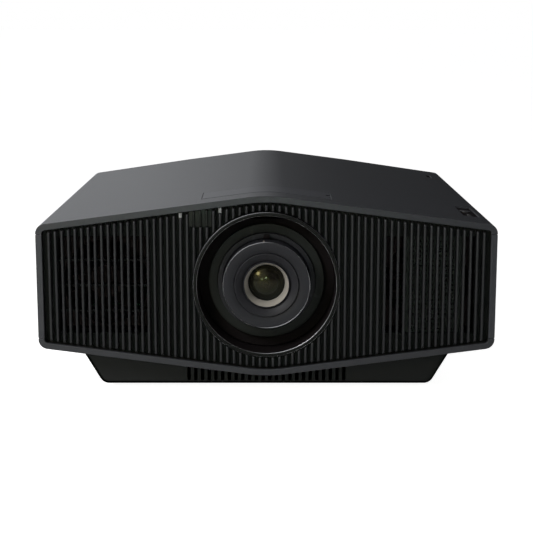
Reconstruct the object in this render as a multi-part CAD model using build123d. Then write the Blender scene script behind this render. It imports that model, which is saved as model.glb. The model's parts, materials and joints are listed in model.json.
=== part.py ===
from build123d import *
import math
import os

# Home cinema projector. Millimetres, +Z up, front faces -Y, origin under the middle of the feet.

# Driving dimensions of the casing
WIDTH = 460.0
DEPTH = 472.0
FOOT_HEIGHT = 7.0
RIDGE_Z = 206.4
SHOULDER_Z = 176.0
HIP_Z = 50.6
KEEL_Z = 20.8
RIDGE_RADIUS = 150.0
CORNER_RADIUS = 10.0
WALL = 3.0
BAND = 6.3
SEAM = 0.4
UPPER_SEAM_Z = 166.6
LOWER_SEAM_Z = 60.6

HALF = WIDTH / 2
FRONT_Y = -DEPTH / 2
REAR_Y = DEPTH / 2
ROOF_SLOPE = (RIDGE_Z - SHOULDER_Z) / HALF
KEEL_SLOPE = (HIP_Z - KEEL_Z) / HALF
ROOF_ANGLE = math.degrees(math.atan(ROOF_SLOPE))
LIP_REAR_Y = FRONT_Y + 4.0

# Rear edge in plan: straight in the middle and swept forward on both sides, over a flat, recessed rear panel
REAR_FLAT_HALF = 105.0
REAR_CORNER_Y = REAR_Y - 20.0
REAR_PANEL_Y = (REAR_Y - 25.0, REAR_Y - 22.0)

# Base plinth
PLINTH_HALF = 168.5
PLINTH_FLARE = 0.59
PLINTH_TOP_Z = 50.0
PLINTH_Y = 210.2
PLINTH_RADIUS = 10.5
SLOT_COUNT = 24
SLOT_PITCH = 6.95
SLOT_WIDTH = 3.5

# Front grille
LOUVRE_SIDE_COUNT = 33
LOUVRE_PITCH = 6.58
LOUVRE_WIDTH = 2.6
LOUVRE_END_GAP = 2.5
LOUVRE_FRONT_Y = FRONT_Y + 1.5
PLATE_FRONT_Y = FRONT_Y + 11.0
PLATE_REAR_Y = FRONT_Y + 14.0
VENT_X = (118.0, 209.0)
VENT_Z = (64.0, 163.0)
WINDOW_X = (-77.3, -54.3)
WINDOW_Z = 174.0
PIPE_LOUVRES = (-13, -7)
PIPE_WIDTH = 3.0
PIPE_HEIGHT = 5.3

# Lens and its shift mechanism
LENS_Z = 114.9
BEZEL_RADIUS = 73.9
BEZEL_HOLE = 74.2
RECESS_RADIUS = 70.0
BARREL_RADIUS = 58.9
BARREL_FACE_Y = FRONT_Y + 26.0
TUBE_RADIUS = 46.0
TUBE_BORE = 42.0
RING_BORE = 49.6
SPOUT_RADIUS = 36.25
SPOUT_BORE = 33.3
SPOUT_FRONT_Y = FRONT_Y + 14.0
MOUNT_FACE_Y = -167.0
TUBE_REAR_Y = -85.0
SHROUD_Y = (-201.0, -199.0)
SHROUD_RADIUS = 63.0
ZOOM_RING_Y = (-214.5, -174.0)
ZOOM_RING_RADIUS = 44.6
FOCUS_RING_RADIUS = 44.0
ZOOM_CELL_Y = (-150.0, -120.0)
GLASS_RADIUS = 24.4
GLASS_Y = (-220.5, -208.5)
GLASS_SEAT = 5.9
GLASS_BULGE = 4.6
CELL_SEAT_THICKNESS = 3.0
RUNNING_GAP = 0.05
CLEAR_GAP = 0.3
ROD_RADIUS = 3.0
SHIFT_UP = 5.4
DIAL_X = 52.0
DIAL_Y = -177.0
DIAL_RADIUS = 11.0
DIAL_Z = (187.0, 194.0)
PINION_RADIUS = 3.5
TRAY_Z = (184.0, 186.5)
SHIFT_BASE_Z = (40.0, 184.0)
VERTICAL_ROD_TOP = 183.8
VERTICAL_ROD_X = 76.0
VERTICAL_ROD_Y = -150.0
HORIZONTAL_ROD_Y = -162.0
HORIZONTAL_ROD_RISE = 52.0

# Access cover and control panel in the roof
LID_HALF = 66.0
LID_Y = (-202.0, -152.0)
LID_THICKNESS = 2.7
PANEL_X = 209.8
PANEL_HALF = 8.2
PANEL_Y = (-194.0, -124.0)
KEY_RADIUS = 2.2
PAD_RADIUS = 6.0
PAD_Y = -150.0
KEY_BASE = -8.4
KEY_COLLAR_TOP = -6.4
KEY_COLLAR = 0.8
ROOF_MARK_X = (-5.0, 0.5)
ROOF_MARK_Y = (144.0, 170.0)
ROOF_MARK_DEPTH = 0.8
KEY_YS = {"power_button": -188.0, "input_button": -181.5, "menu_button": -175.0}

# Fans
FAN_X = 163.5
FAN_Z = 113.5
FAN_SIZE = 92.0
FAN_FRONT_Y = FRONT_Y + 28.0
FAN_DEPTH = 25.0
FAN_BORE = 43.5
HUB_RADIUS = 17.0
BLADE_COUNT = 7

# Feet and mounting bosses
FOOT_X = 120.0
FRONT_FOOT_Y = -150.0
REAR_FOOT_Y = 150.0
STUD_RADIUS = 4.0
MOUNT_HALF = 100.0
MOUNT_HOLE_RADIUS = 2.6
MOUNT_BOSS_RADIUS = 7.0
FOOT_BOSS_RADIUS = 9.0

# Chassis and engine
CHASSIS_Z = (54.0, 56.0)
CHASSIS_FRONT_Y = -138.0
BOARD_Z = 66.0
BOARD_THICKNESS = 1.6
BOARD_TOP = BOARD_Z + BOARD_THICKNESS
BOARD_Y = (-100.0, 188.0)
BOARD_POST_INSET = 6.0
HOUSING_WALL = 5.0
CORE_HALF = 20.0
WHEEL_Y = 60.0
WHEEL_Z = 108.0
SPINDLE_RADIUS = 3.0
LASER_Y = (92.0, 146.0)

# Sockets in the rear panel
HDMI_XS = (-158.0, -136.0)
USB_X = -114.0
LAN_X = -92.0
SERIAL_X = -66.0
TERMINAL_Z = 82.0
JACK_XS = (-158.0, -144.0, -130.0)
JACK_Z = 68.5
INLET_X = 151.0
INLET_Z = 79.0
SOCKET_Y = (REAR_PANEL_Y[0] - 15, REAR_PANEL_Y[0] + 1)
TERMINAL_OPENING = (-172.0, -48.0, 62.0, 98.0)
INLET_HALF_X = 15.0
INLET_HALF_Z = 13.0
JACK_RADIUS = 3.6
SCREW_RADIUS = 1.6


def block(x, y, z):
    size = Box(x[1] - x[0], y[1] - y[0], z[1] - z[0])
    return Pos((x[0] + x[1]) / 2, (y[0] + y[1]) / 2, (z[0] + z[1]) / 2) * size


def both_sides(x, y, z):
    return block(x, y, z) + block((-x[1], -x[0]), y, z)


def rod_x(radius, x, y, z):
    rod = Rot(0, 90, 0) * Cylinder(radius, x[1] - x[0])
    return Pos((x[0] + x[1]) / 2, y, z) * rod


def rod_y(radius, x, y, z):
    rod = Rot(90, 0, 0) * Cylinder(radius, y[1] - y[0])
    return Pos(x, (y[0] + y[1]) / 2, z) * rod


def rod_z(radius, x, y, z):
    return Pos(x, y, (z[0] + z[1]) / 2) * Cylinder(radius, z[1] - z[0])


def turned(*profile, axis_x=0.0, axis_z=LENS_Z):
    """Ring or disc round an axis along Y, from (radius, y) points."""
    face = make_face(Polyline(*profile, close=True))
    return Pos(axis_x, 0, axis_z) * revolve(face, Axis.Y, 360)


def outline(inset):
    """Cross-section of the casing, moved inwards by inset, drawn as (x, z)."""
    half = HALF - inset
    top = RIDGE_Z - inset * math.hypot(1, ROOF_SLOPE)
    bottom = KEEL_Z + inset * math.hypot(1, KEEL_SLOPE)
    shoulder = top - ROOF_SLOPE * half
    hip = bottom + KEEL_SLOPE * half
    points = [(0, top), (half, shoulder), (half, hip), (0, bottom), (-half, hip), (-half, shoulder)]
    face = make_face(Polyline(*points, close=True))
    corner_radius = max(CORNER_RADIUS - inset, 2.0)
    face = fillet([v for v in face.vertices() if abs(v.X) > 1], corner_radius)
    return fillet([v for v in face.vertices() if abs(v.X) < 1], RIDGE_RADIUS - inset)


def prism(face, front, rear):
    """Face drawn as (x, z), made solid from y = front to y = rear."""
    return extrude(Plane.XZ.offset(-rear) * face, amount=rear - front)


def roof_z(x, inset=0.0):
    return RIDGE_Z - inset * math.hypot(1, ROOF_SLOPE) - ROOF_SLOPE * abs(x)


def footprint():
    """Block that trims the casing's rear edge to its shape in plan."""
    right = [(HALF, FRONT_Y), (HALF, REAR_CORNER_Y), (REAR_FLAT_HALF, REAR_Y)]
    left = [(-x, y) for x, y in reversed(right)]
    return extrude(make_face(Polyline(*right, *left, close=True)), amount=RIDGE_Z, dir=(0, 0, 1))


def casing():
    skin = prism(outline(0) - outline(WALL), FRONT_Y, REAR_Y)
    lip = prism(outline(WALL) - outline(BAND), FRONT_Y, LIP_REAR_Y)
    return (skin + lip) & footprint()


def on_roof(shape):
    """Places a shape whose z = 0 is the roof surface at the control panel."""
    return Pos(PANEL_X, 0, roof_z(PANEL_X)) * Rot(0, ROOF_ANGLE, 0) * shape


def top_cover():
    cover = casing() & block((-HALF, HALF), (FRONT_Y, REAR_Y), (UPPER_SEAM_Z + SEAM / 2, RIDGE_Z))
    cover -= block((-LID_HALF, LID_HALF), LID_Y, (UPPER_SEAM_Z, RIDGE_Z))
    cover -= on_roof(block(ROOF_MARK_X, ROOF_MARK_Y, (-ROOF_MARK_DEPTH, WALL)))
    through = (-WALL - 2, WALL)
    return cover - on_roof(block((-PANEL_HALF, PANEL_HALF), PANEL_Y, through))


def side_cover(side):
    x = (0, HALF) if side > 0 else (-HALF, 0)
    return casing() & block(x, (FRONT_Y, REAR_Y), (LOWER_SEAM_Z + SEAM / 2, UPPER_SEAM_Z - SEAM / 2))


def bottom_cover():
    return casing() & block((-HALF, HALF), (FRONT_Y, REAR_Y), (0, LOWER_SEAM_Z - SEAM / 2))


def plinth_outline(inset):
    lift = FOOT_HEIGHT + inset
    low = PLINTH_HALF + PLINTH_FLARE * inset - inset * math.hypot(1, PLINTH_FLARE)
    high = low + PLINTH_FLARE * (PLINTH_TOP_Z - lift)
    points = [(-low, lift), (low, lift), (high, PLINTH_TOP_Z), (-high, PLINTH_TOP_Z)]
    face = make_face(Polyline(*points, close=True))
    return fillet([v for v in face.vertices() if v.Y < lift + 1], PLINTH_RADIUS - inset)


def mount_points():
    return [(x, y) for x in (-MOUNT_HALF, MOUNT_HALF) for y in (-MOUNT_HALF, MOUNT_HALF)]


def base_plinth():
    plinth = prism(plinth_outline(0), -PLINTH_Y, PLINTH_Y)
    plinth -= prism(plinth_outline(WALL), -PLINTH_Y + WALL, PLINTH_Y - WALL)
    floor_z = FOOT_HEIGHT + WALL
    below = FOOT_HEIGHT - 1
    mount_top, mount_depth = 24.0, 20.0
    foot_top = 22.0
    for x, y in mount_points():
        plinth += rod_z(MOUNT_BOSS_RADIUS, x, y, (floor_z, mount_top))
        plinth -= rod_z(MOUNT_HOLE_RADIUS, x, y, (below, mount_depth))
    for x in (-FOOT_X, FOOT_X):
        plinth += rod_z(FOOT_BOSS_RADIUS, x, FRONT_FOOT_Y, (floor_z, foot_top))
        plinth -= rod_z(STUD_RADIUS + CLEAR_GAP, x, FRONT_FOOT_Y, (below, foot_top + 1))
    for index in range(SLOT_COUNT):
        x = (index - (SLOT_COUNT - 1) / 2) * SLOT_PITCH
        slot_x = (x - SLOT_WIDTH / 2, x + SLOT_WIDTH / 2)
        plinth -= block(slot_x, (-PLINTH_Y - 1, -PLINTH_Y + WALL + 1), (floor_z, PLINTH_TOP_Z + 1))
    return plinth - prism(outline(0), FRONT_Y, REAR_Y)


def louvre_xs():
    return [index * LOUVRE_PITCH for index in range(-LOUVRE_SIDE_COUNT, LOUVRE_SIDE_COUNT + 1)]


def upright(x0, x1, z0, z1):
    return Pos((x0 + x1) / 2, (z0 + z1) / 2) * Rectangle(x1 - x0, z1 - z0)


def window_opening():
    return upright(*WINDOW_X, WINDOW_Z, RIDGE_Z)


def pipe_outline(louvre, gap=0.0):
    x = louvre * LOUVRE_PITCH
    top = roof_z(x, BAND + CLEAR_GAP) - 0.3
    half = PIPE_WIDTH / 2 + gap
    return upright(x - half, x + half, top - PIPE_HEIGHT - gap, top + gap)


def front_grille():
    lens_hole = Pos(0, LENS_Z) * Circle(BEZEL_HOLE)
    half = LOUVRE_WIDTH / 2
    bars = [upright(x - half, x + half, 0, RIDGE_Z) for x in louvre_xs()]
    louvres = (Sketch() + bars) & outline(BAND + LOUVRE_END_GAP)
    louvres -= lens_hole
    louvres -= window_opening()
    plate = outline(WALL) - lens_hole - (window_opening() & outline(BAND + CLEAR_GAP))
    for louvre in PIPE_LOUVRES:
        louvres -= pipe_outline(louvre, CLEAR_GAP)
        plate -= pipe_outline(louvre)
    plate -= upright(*VENT_X, *VENT_Z)
    plate -= upright(-VENT_X[1], -VENT_X[0], *VENT_Z)
    grille = prism(plate, PLATE_FRONT_Y, PLATE_REAR_Y)
    grille += prism(louvres, LOUVRE_FRONT_Y, PLATE_FRONT_Y)
    return grille + prism(outline(WALL) - outline(BAND), LIP_REAR_Y, PLATE_FRONT_Y)


def ir_window():
    pane = window_opening() & outline(BAND + CLEAR_GAP)
    return prism(pane, LOUVRE_FRONT_Y + 0.4, PLATE_REAR_Y)


def indicator_light_pipes():
    pipes = [prism(pipe_outline(louvre), LOUVRE_FRONT_Y, PLATE_REAR_Y) for louvre in PIPE_LOUVRES]
    return Compound([pipe.solid() for pipe in pipes])


def vent_duct(side):
    """Frame that joins a grille opening to the fan behind it."""
    outer_x = (VENT_X[0] - WALL, VENT_X[1] + WALL)
    outer_z = (VENT_Z[0] - WALL, VENT_Z[1] + WALL)
    outer = block(outer_x, (PLATE_REAR_Y, FAN_FRONT_Y), outer_z)
    hole = block(VENT_X, (PLATE_REAR_Y - 1, FAN_FRONT_Y + 1), VENT_Z)
    duct = outer - hole
    return duct if side > 0 else mirror(duct, Plane.YZ)


def vent_ducts():
    """Two ducts: the left one carries three slats, the right one is open."""
    left = vent_duct(-1)
    for z in (86.0, 112.0, 138.0):
        left += block((-VENT_X[1], -VENT_X[0]), (PLATE_REAR_Y + 2, FAN_FRONT_Y - 2), (z - 1, z + 1))
    return Compound([left.solid(), vent_duct(1).solid()])


def perforated_shield():
    """Punched plate between two posts, across the right opening."""
    sheet_x = (143.6, 193.6)
    sheet_y = (PLATE_REAR_Y + 3, PLATE_REAR_Y + 4.2)
    rows = 38
    columns = 7
    pitch = 6.65
    row_step = 2.5
    hole_radius = 1.2
    first_x = sheet_x[0] + 4.4
    sheet = upright(*sheet_x, *VENT_Z)
    holes = []
    for row in range(rows):
        z = VENT_Z[0] + 3 + row * row_step
        for column in range(columns - row % 2):
            x = first_x + (column + (row % 2) / 2) * pitch
            holes.append(Pos(x, z) * Circle(hole_radius))
    shield = prism(sheet - (Sketch() + holes), *sheet_y)
    for x in ((sheet_x[0] - 5, sheet_x[0]), (sheet_x[1], sheet_x[1] + 5)):
        shield += block(x, (PLATE_REAR_Y, sheet_y[1]), VENT_Z)
    return shield


def fan_frame(side):
    x = side * FAN_X
    half = FAN_SIZE / 2
    rear = FAN_FRONT_Y + FAN_DEPTH
    frame = block((x - half, x + half), (FAN_FRONT_Y, rear), (FAN_Z - half, FAN_Z + half))
    frame -= rod_y(FAN_BORE, x, (FAN_FRONT_Y - 1, rear + 1), FAN_Z)
    frame += block((x - half, x + half), (rear - 3, rear), (FAN_Z - 2.5, FAN_Z + 2.5))
    frame += block((x - 2.5, x + 2.5), (rear - 3, rear), (FAN_Z - half, FAN_Z + half))
    frame += rod_y(HUB_RADIUS, x, (rear - 3, rear), FAN_Z)
    return frame + rod_y(2.0, x, (FAN_FRONT_Y + 8, rear - 3), FAN_Z)


def fan_rotor(side):
    x = side * FAN_X
    hub_y = (FAN_FRONT_Y + 2, FAN_FRONT_Y + FAN_DEPTH - 4.5)
    blade_span = 25.5
    rotor = rod_y(HUB_RADIUS, x, hub_y, FAN_Z)
    blade = Pos(HUB_RADIUS + blade_span / 2 - 1, 0, 0) * Rot(40, 0, 0) * Box(blade_span, 15, 1.8)
    centre = Pos(x, (hub_y[0] + hub_y[1]) / 2, FAN_Z)
    for index in range(BLADE_COUNT):
        rotor += centre * Rot(0, index * 360 / BLADE_COUNT, 0) * blade
    return rotor - rod_y(2.0 + RUNNING_GAP, x, (FAN_FRONT_Y + 7.5, hub_y[1] + 1), FAN_Z)


def lens_bezel():
    flange_y = (PLATE_REAR_Y, PLATE_REAR_Y + 3)
    sleeve_rear = BARREL_FACE_Y + 4
    return turned(
        (RECESS_RADIUS, FRONT_Y + 0.8),
        (RECESS_RADIUS + 0.8, FRONT_Y),
        (BEZEL_RADIUS - 0.6, FRONT_Y),
        (BEZEL_RADIUS, FRONT_Y + 0.6),
        (BEZEL_RADIUS, flange_y[0]),
        (BEZEL_RADIUS + 5, flange_y[0]),
        (BEZEL_RADIUS + 5, flange_y[1]),
        (RECESS_RADIUS + 3, flange_y[1]),
        (RECESS_RADIUS + 3, sleeve_rear),
        (RECESS_RADIUS - 4, sleeve_rear),
        (RECESS_RADIUS - 4, sleeve_rear - 2),
        (RECESS_RADIUS, sleeve_rear - 2),
    )


def lens_barrel():
    """Face ring, shroud, rear tube, and the spout that the focus ring turns on."""
    return turned(
        (RING_BORE, BARREL_FACE_Y + 0.5),
        (RING_BORE + 0.5, BARREL_FACE_Y),
        (BARREL_RADIUS - 0.8, BARREL_FACE_Y),
        (BARREL_RADIUS, BARREL_FACE_Y + 0.8),
        (BARREL_RADIUS, SHROUD_Y[0]),
        (SHROUD_RADIUS, SHROUD_Y[0]),
        (SHROUD_RADIUS, SHROUD_Y[1]),
        (RING_BORE + 2.4, SHROUD_Y[1]),
        (RING_BORE + 2.4, MOUNT_FACE_Y),
        (TUBE_RADIUS, MOUNT_FACE_Y),
        (TUBE_RADIUS, TUBE_REAR_Y),
        (TUBE_BORE, TUBE_REAR_Y),
        (TUBE_BORE, MOUNT_FACE_Y),
        (SPOUT_BORE, MOUNT_FACE_Y),
        (SPOUT_BORE, SPOUT_FRONT_Y),
        (SPOUT_RADIUS, SPOUT_FRONT_Y),
        (SPOUT_RADIUS, MOUNT_FACE_Y - 5),
        (RING_BORE, MOUNT_FACE_Y - 5),
    )


def zoom_ring():
    """Ring between the focus ring and the barrel, with a short finger lever at its top."""
    inner = ZOOM_RING_RADIUS
    outer = RING_BORE - RUNNING_GAP
    front, rear = ZOOM_RING_Y
    ring = turned((inner, front), (outer, front), (outer, rear), (inner, rear))
    lever_length = 6.0
    lever_half = 3.2
    lever_z = (LENS_Z + inner + 0.6, LENS_Z + outer - 0.9)
    lever = block((-lever_half, lever_half), (front - lever_length, front + 2), lever_z)
    return ring + fillet(lever.edges().group_by(Axis.Y)[0], 0.8)


def zoom_cell():
    inner = TUBE_BORE - 8.0
    outer = TUBE_BORE - RUNNING_GAP
    front, rear = ZOOM_CELL_Y
    return turned((inner, front), (outer, front), (outer, rear), (inner, rear))


def lens_disc(radius, front, rear, bulge, seat=1.0):
    """Glass with a domed front inside a flat seat, round the lens axis."""
    dome_edge = (radius - seat, front)
    middle = (dome_edge[0] / 2, front - bulge * 0.74)
    sides = Polyline(dome_edge, (radius, front), (radius, rear), (0, rear), (0, front - bulge))
    dome = ThreePointArc((0, front - bulge), middle, dome_edge)
    return Pos(0, 0, LENS_Z) * revolve(make_face([*sides.edges(), dome]), Axis.Y, 360)


def focus_ring():
    inner = SPOUT_RADIUS + RUNNING_GAP
    return turned(
        (32.7, -233.2),
        (FOCUS_RING_RADIUS - 0.8, -235.3),
        (FOCUS_RING_RADIUS, -234.5),
        (FOCUS_RING_RADIUS, -178.0),
        (inner, -178.0),
        (inner, -224.0),
        (32.7, -224.0),
    )


def front_cell():
    """Sleeve with a shallow conical mouth and a seat for the front glass."""
    bearing = SPOUT_BORE - RUNNING_GAP
    seat_y = (GLASS_Y[1] + CELL_SEAT_THICKNESS, GLASS_Y[1])
    return turned(
        (24.5, -231.8),
        (25.4, -232.4),
        (31.6, -234.9),
        (32.3, -234.6),
        (32.3, -221.5),
        (bearing, -221.5),
        (bearing, -185.0),
        (30.0, -185.0),
        (30.0, seat_y[0]),
        (21.5, seat_y[0]),
        (21.5, seat_y[1]),
        (24.5, seat_y[1]),
    )


def retaining_ring():
    """Conical ring between the front cell's mouth and the front glass."""
    glass_front = GLASS_Y[0]
    mouth = ((22.9, -233.2), (23.3, -233.8), (24.0, -233.8), (GLASS_RADIUS, -231.8))
    return turned(*mouth, (GLASS_RADIUS, glass_front), (GLASS_RADIUS - GLASS_SEAT + 0.1, glass_front))


def lens_shift_base():
    """Upright plate with an opening for the barrel and brackets for the two vertical rods."""
    base_y = (CHASSIS_FRONT_Y - 5, CHASSIS_FRONT_Y)
    opening = rod_y(56.0, 0, (base_y[0] - 1, base_y[1] + 1), LENS_Z)
    base = block((-85, 85), base_y, (SHIFT_BASE_Z[0], SHIFT_BASE_Z[1])) - opening
    bracket_x = (VERTICAL_ROD_X - 6, VERTICAL_ROD_X + 6)
    bracket_y = (VERTICAL_ROD_Y - 6, base_y[0])
    for bracket_z in ((SHIFT_BASE_Z[0], SHIFT_BASE_Z[0] + 5), (VERTICAL_ROD_TOP - 2.8, VERTICAL_ROD_TOP)):
        base += both_sides(bracket_x, bracket_y, bracket_z)
    return base - vertical_guide_rods()


def vertical_guide_rods():
    z = (SHIFT_BASE_Z[0], VERTICAL_ROD_TOP)
    rods = [rod_z(ROD_RADIUS, x, VERTICAL_ROD_Y, z) for x in (-VERTICAL_ROD_X, VERTICAL_ROD_X)]
    return Compound([rod.solid() for rod in rods])


def horizontal_guide_rods():
    rods = [rod_x(ROD_RADIUS, (-84, 84), HORIZONTAL_ROD_Y, z) for z in horizontal_rod_heights()]
    return Compound([rod.solid() for rod in rods])


def horizontal_rod_heights():
    return (LENS_Z - HORIZONTAL_ROD_RISE, LENS_Z + HORIZONTAL_ROD_RISE)


def vertical_carriage():
    """Plate that slides up and down, with ears for the horizontal rods and a nut for the dial's screw."""
    z = (LENS_Z - 60, LENS_Z + 60)
    plate_y = (-155, -145)
    ear_x = (72, 84)
    ear_y = (-169, plate_y[0])
    plate = block((-84, 84), plate_y, z)
    plate -= rod_y(50.5, 0, (plate_y[0] - 1, plate_y[1] + 1), LENS_Z)
    plate += both_sides(ear_x, ear_y, z)
    nut_y = (-184, ear_y[0])
    nut_z = (160, 168)
    plate += block((-84, -DIAL_X + 7), nut_y, nut_z)
    plate -= rod_z(ROD_RADIUS + CLEAR_GAP, -DIAL_X, DIAL_Y, (nut_z[0] - 1, nut_z[1] + 1))
    for x in (-VERTICAL_ROD_X, VERTICAL_ROD_X):
        plate -= rod_z(ROD_RADIUS + RUNNING_GAP, x, VERTICAL_ROD_Y, (z[0] - 1, z[1] + 1))
    return plate - horizontal_guide_rods()


def horizontal_carriage():
    """Plate that carries the barrel from side to side, with a rack for the other dial."""
    half = 64
    plate_y = (MOUNT_FACE_Y, MOUNT_FACE_Y + 10)
    plate = block((-half, half), plate_y, (LENS_Z - 58, LENS_Z + 58))
    plate -= rod_y(TUBE_RADIUS, 0, (plate_y[0] - 1, plate_y[1] + 1), LENS_Z)
    rack_y = (DIAL_Y + PINION_RADIUS + CLEAR_GAP, plate_y[0])
    plate += block((45, half), rack_y, (154, 162))
    for height in horizontal_rod_heights():
        plate -= rod_x(ROD_RADIUS + RUNNING_GAP, (-half - 1, half + 1), HORIZONTAL_ROD_Y, height)
    return plate


def shift_dial_tray():
    """Tray under the access cover, open at the top, that both dials stand in."""
    rim = 3.0
    wall = 5.0
    x = (-LID_HALF - rim, LID_HALF + rim)
    y = (LID_Y[0] - rim, LID_Y[1] + rim)
    tray = prism(outline(WALL), *y) & block(x, y, (TRAY_Z[0], RIDGE_Z))
    hollow_y = (y[0] + wall, y[1] - wall)
    tray -= block((x[0] + wall, x[1] - wall), hollow_y, (TRAY_Z[1], RIDGE_Z))
    for dial_x in (-DIAL_X, DIAL_X):
        tray -= rod_z(ROD_RADIUS + RUNNING_GAP, dial_x, DIAL_Y, (TRAY_Z[0] - 1, TRAY_Z[1] + 0.5))
    return tray


def dial_wheel(x):
    """Ribbed thumb wheel with a screwdriver slot in its top."""
    rim = Circle(DIAL_RADIUS)
    rim -= PolarLocations(DIAL_RADIUS + 0.5, 24) * Circle(1.1)
    wheel = Pos(x, DIAL_Y, DIAL_Z[0]) * extrude(rim, DIAL_Z[1] - DIAL_Z[0])
    slot_y = (DIAL_Y - 0.8, DIAL_Y + 0.8)
    return wheel - block((x - 6, x + 6), slot_y, (DIAL_Z[1] - 1.5, DIAL_Z[1] + 1))


def vertical_shift_dial():
    return dial_wheel(-DIAL_X) + rod_z(ROD_RADIUS, -DIAL_X, DIAL_Y, (153, DIAL_Z[0]))


def horizontal_shift_dial():
    shaft = rod_z(ROD_RADIUS, DIAL_X, DIAL_Y, (165, DIAL_Z[0]))
    return dial_wheel(DIAL_X) + shaft + rod_z(PINION_RADIUS, DIAL_X, DIAL_Y, (150, 168))


def access_cover():
    gap = 0.4
    lid = prism(outline(0) - outline(LID_THICKNESS), LID_Y[0] + gap, LID_Y[1] - gap)
    lid &= block((-LID_HALF + gap, LID_HALF - gap), (LID_Y[0] + gap, LID_Y[1] - gap), (UPPER_SEAM_Z, RIDGE_Z))
    notch_y = (LID_Y[0] + LID_Y[1]) / 2
    return lid - rod_z(5.0, LID_HALF, notch_y, (UPPER_SEAM_Z, RIDGE_Z))


def control_panel():
    """Plate with a flange under the roof and a face just below it, with a hole for each key."""
    rim = 1.6
    flange_y = (PANEL_Y[0] - 2, PANEL_Y[1] + 2)
    flange = block((-PANEL_HALF - rim, PANEL_HALF + rim), flange_y, (-2 * WALL, -WALL))
    panel = flange + block((-PANEL_HALF, PANEL_HALF), PANEL_Y, (-WALL, -1.6))
    through = (-2 * WALL - 1, 0)
    for y in KEY_YS.values():
        panel -= rod_z(KEY_RADIUS + CLEAR_GAP, 0, y, through)
    panel -= rod_z(PAD_RADIUS + CLEAR_GAP, 0, PAD_Y, through)
    return on_roof(panel)


def key(y):
    cap = rod_z(KEY_RADIUS, 0, y, (KEY_BASE, -0.5))
    cap += rod_z(KEY_RADIUS + KEY_COLLAR, 0, y, (KEY_BASE, KEY_COLLAR_TOP))
    return on_roof(fillet(cap.edges().group_by(Axis.Z)[-1], 0.5))


def direction_pad():
    pad = rod_z(PAD_RADIUS, 0, PAD_Y, (KEY_BASE, -0.5))
    pad += rod_z(PAD_RADIUS + KEY_COLLAR, 0, PAD_Y, (KEY_BASE, KEY_COLLAR_TOP))
    pad = fillet(pad.edges().group_by(Axis.Z)[-1], 0.6)
    return on_roof(pad - rod_z(KEY_RADIUS + CLEAR_GAP, 0, PAD_Y, (-9, 0)))


def enter_button():
    cap = rod_z(KEY_RADIUS, 0, PAD_Y, (KEY_BASE - 1, -0.3))
    return on_roof(fillet(cap.edges().group_by(Axis.Z)[-1], 0.5))


def key_board():
    """Board under the keys, on three posts."""
    top = -11.0
    board = block((-8, 8), PANEL_Y, (top - BOARD_THICKNESS, top))
    for y in (PANEL_Y[0] + 2, -163.0, PANEL_Y[1] - 2):
        board += rod_z(1.5, -5, y, (top, -2 * WALL))
    return on_roof(board)


def front_foot_pad(side):
    x = side * FOOT_X
    return rod_z(13.0, x, FRONT_FOOT_Y, (0, 3)) + rod_z(2.5, x, FRONT_FOOT_Y, (3, 6.2))


def front_foot_knob(side):
    x = side * FOOT_X
    rim = Circle(15.0) - PolarLocations(15.6, 18) * Circle(1.4)
    knob = Pos(x, FRONT_FOOT_Y, 3.3) * extrude(rim, FOOT_HEIGHT - 3.6)
    knob += rod_z(STUD_RADIUS, x, FRONT_FOOT_Y, (4, 30))
    return knob - rod_z(2.5 + RUNNING_GAP, x, FRONT_FOOT_Y, (3, 6.6))


def rear_feet():
    feet = []
    for x in (-FOOT_X, FOOT_X):
        foot = rod_z(12.0, x, REAR_FOOT_Y, (0, FOOT_HEIGHT))
        feet.append(fillet(foot.edges().group_by(Axis.Z)[0], 1.5).solid())
    return Compound(feet)


def internal_chassis():
    """Tray plate across the casing, on posts from the bottom cover."""
    plate = block((-200, 200), (CHASSIS_FRONT_Y, 204), CHASSIS_Z)
    for x in (-150, -60, 60, 150):
        for y in (CHASSIS_FRONT_Y + 12, 40, 190):
            plate += rod_z(5.0, x, y, (KEEL_Z, CHASSIS_Z[0]))
    return plate & prism(outline(WALL), FRONT_Y, REAR_Y)


def optical_block():
    """Hollow housing behind the lens, with a pedestal for the imaging core."""
    x, y, z = (-58, 58), (-78, 30), (CHASSIS_Z[1], 165)
    hollow_x = (x[0] + HOUSING_WALL, x[1] - HOUSING_WALL)
    hollow_y = (y[0] + HOUSING_WALL, y[1] - HOUSING_WALL)
    hollow_z = (z[0] + HOUSING_WALL, z[1] - HOUSING_WALL)
    housing = block(x, y, z) - block(hollow_x, hollow_y, hollow_z)
    housing -= rod_y(34, 0, (y[0] - 1, hollow_y[0] + 1), LENS_Z)
    housing -= rod_y(12, 0, (hollow_y[1] - 1, y[1] + 1), LENS_Z)
    return housing + rod_z(12, 0, -25, (hollow_z[0], LENS_Z - CORE_HALF))


def imaging_core():
    """Colour prism with its three imaging panels."""
    centre_y = -25.0
    half = CORE_HALF
    depth = (centre_y - half, centre_y + half)
    panel_z = (LENS_Z - 17, LENS_Z + 17)
    panel_y = (centre_y - 17, centre_y + 17)
    cube = block((-half, half), depth, (LENS_Z - half, LENS_Z + half))
    left = block((-half - 6, -half), panel_y, panel_z)
    right = block((half, half + 6), panel_y, panel_z)
    rear = block((-17, 17), (depth[1], depth[1] + 6), panel_z)
    return Compound([cube.solid(), left.solid(), right.solid(), rear.solid()])


def phosphor_wheel_housing():
    """Hollow housing with a light port in front and behind, and the phosphor wheel's spindle."""
    y = (45, 78)
    wall = 3.0
    light_z = LENS_Z + 20
    hollow = block((-41, 41), (y[0] + wall, y[1] - wall), (64, 148))
    housing = block((-45, 45), y, (CHASSIS_Z[1], 152)) - hollow
    housing -= rod_y(12, 0, (y[0] - 1, y[0] + wall + 1), light_z)
    housing -= rod_y(12, 0, (y[1] - wall - 1, y[1] + 1), light_z)
    return housing + rod_y(SPINDLE_RADIUS, 0, (56, y[1] - wall + 0.5), WHEEL_Z)


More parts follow.
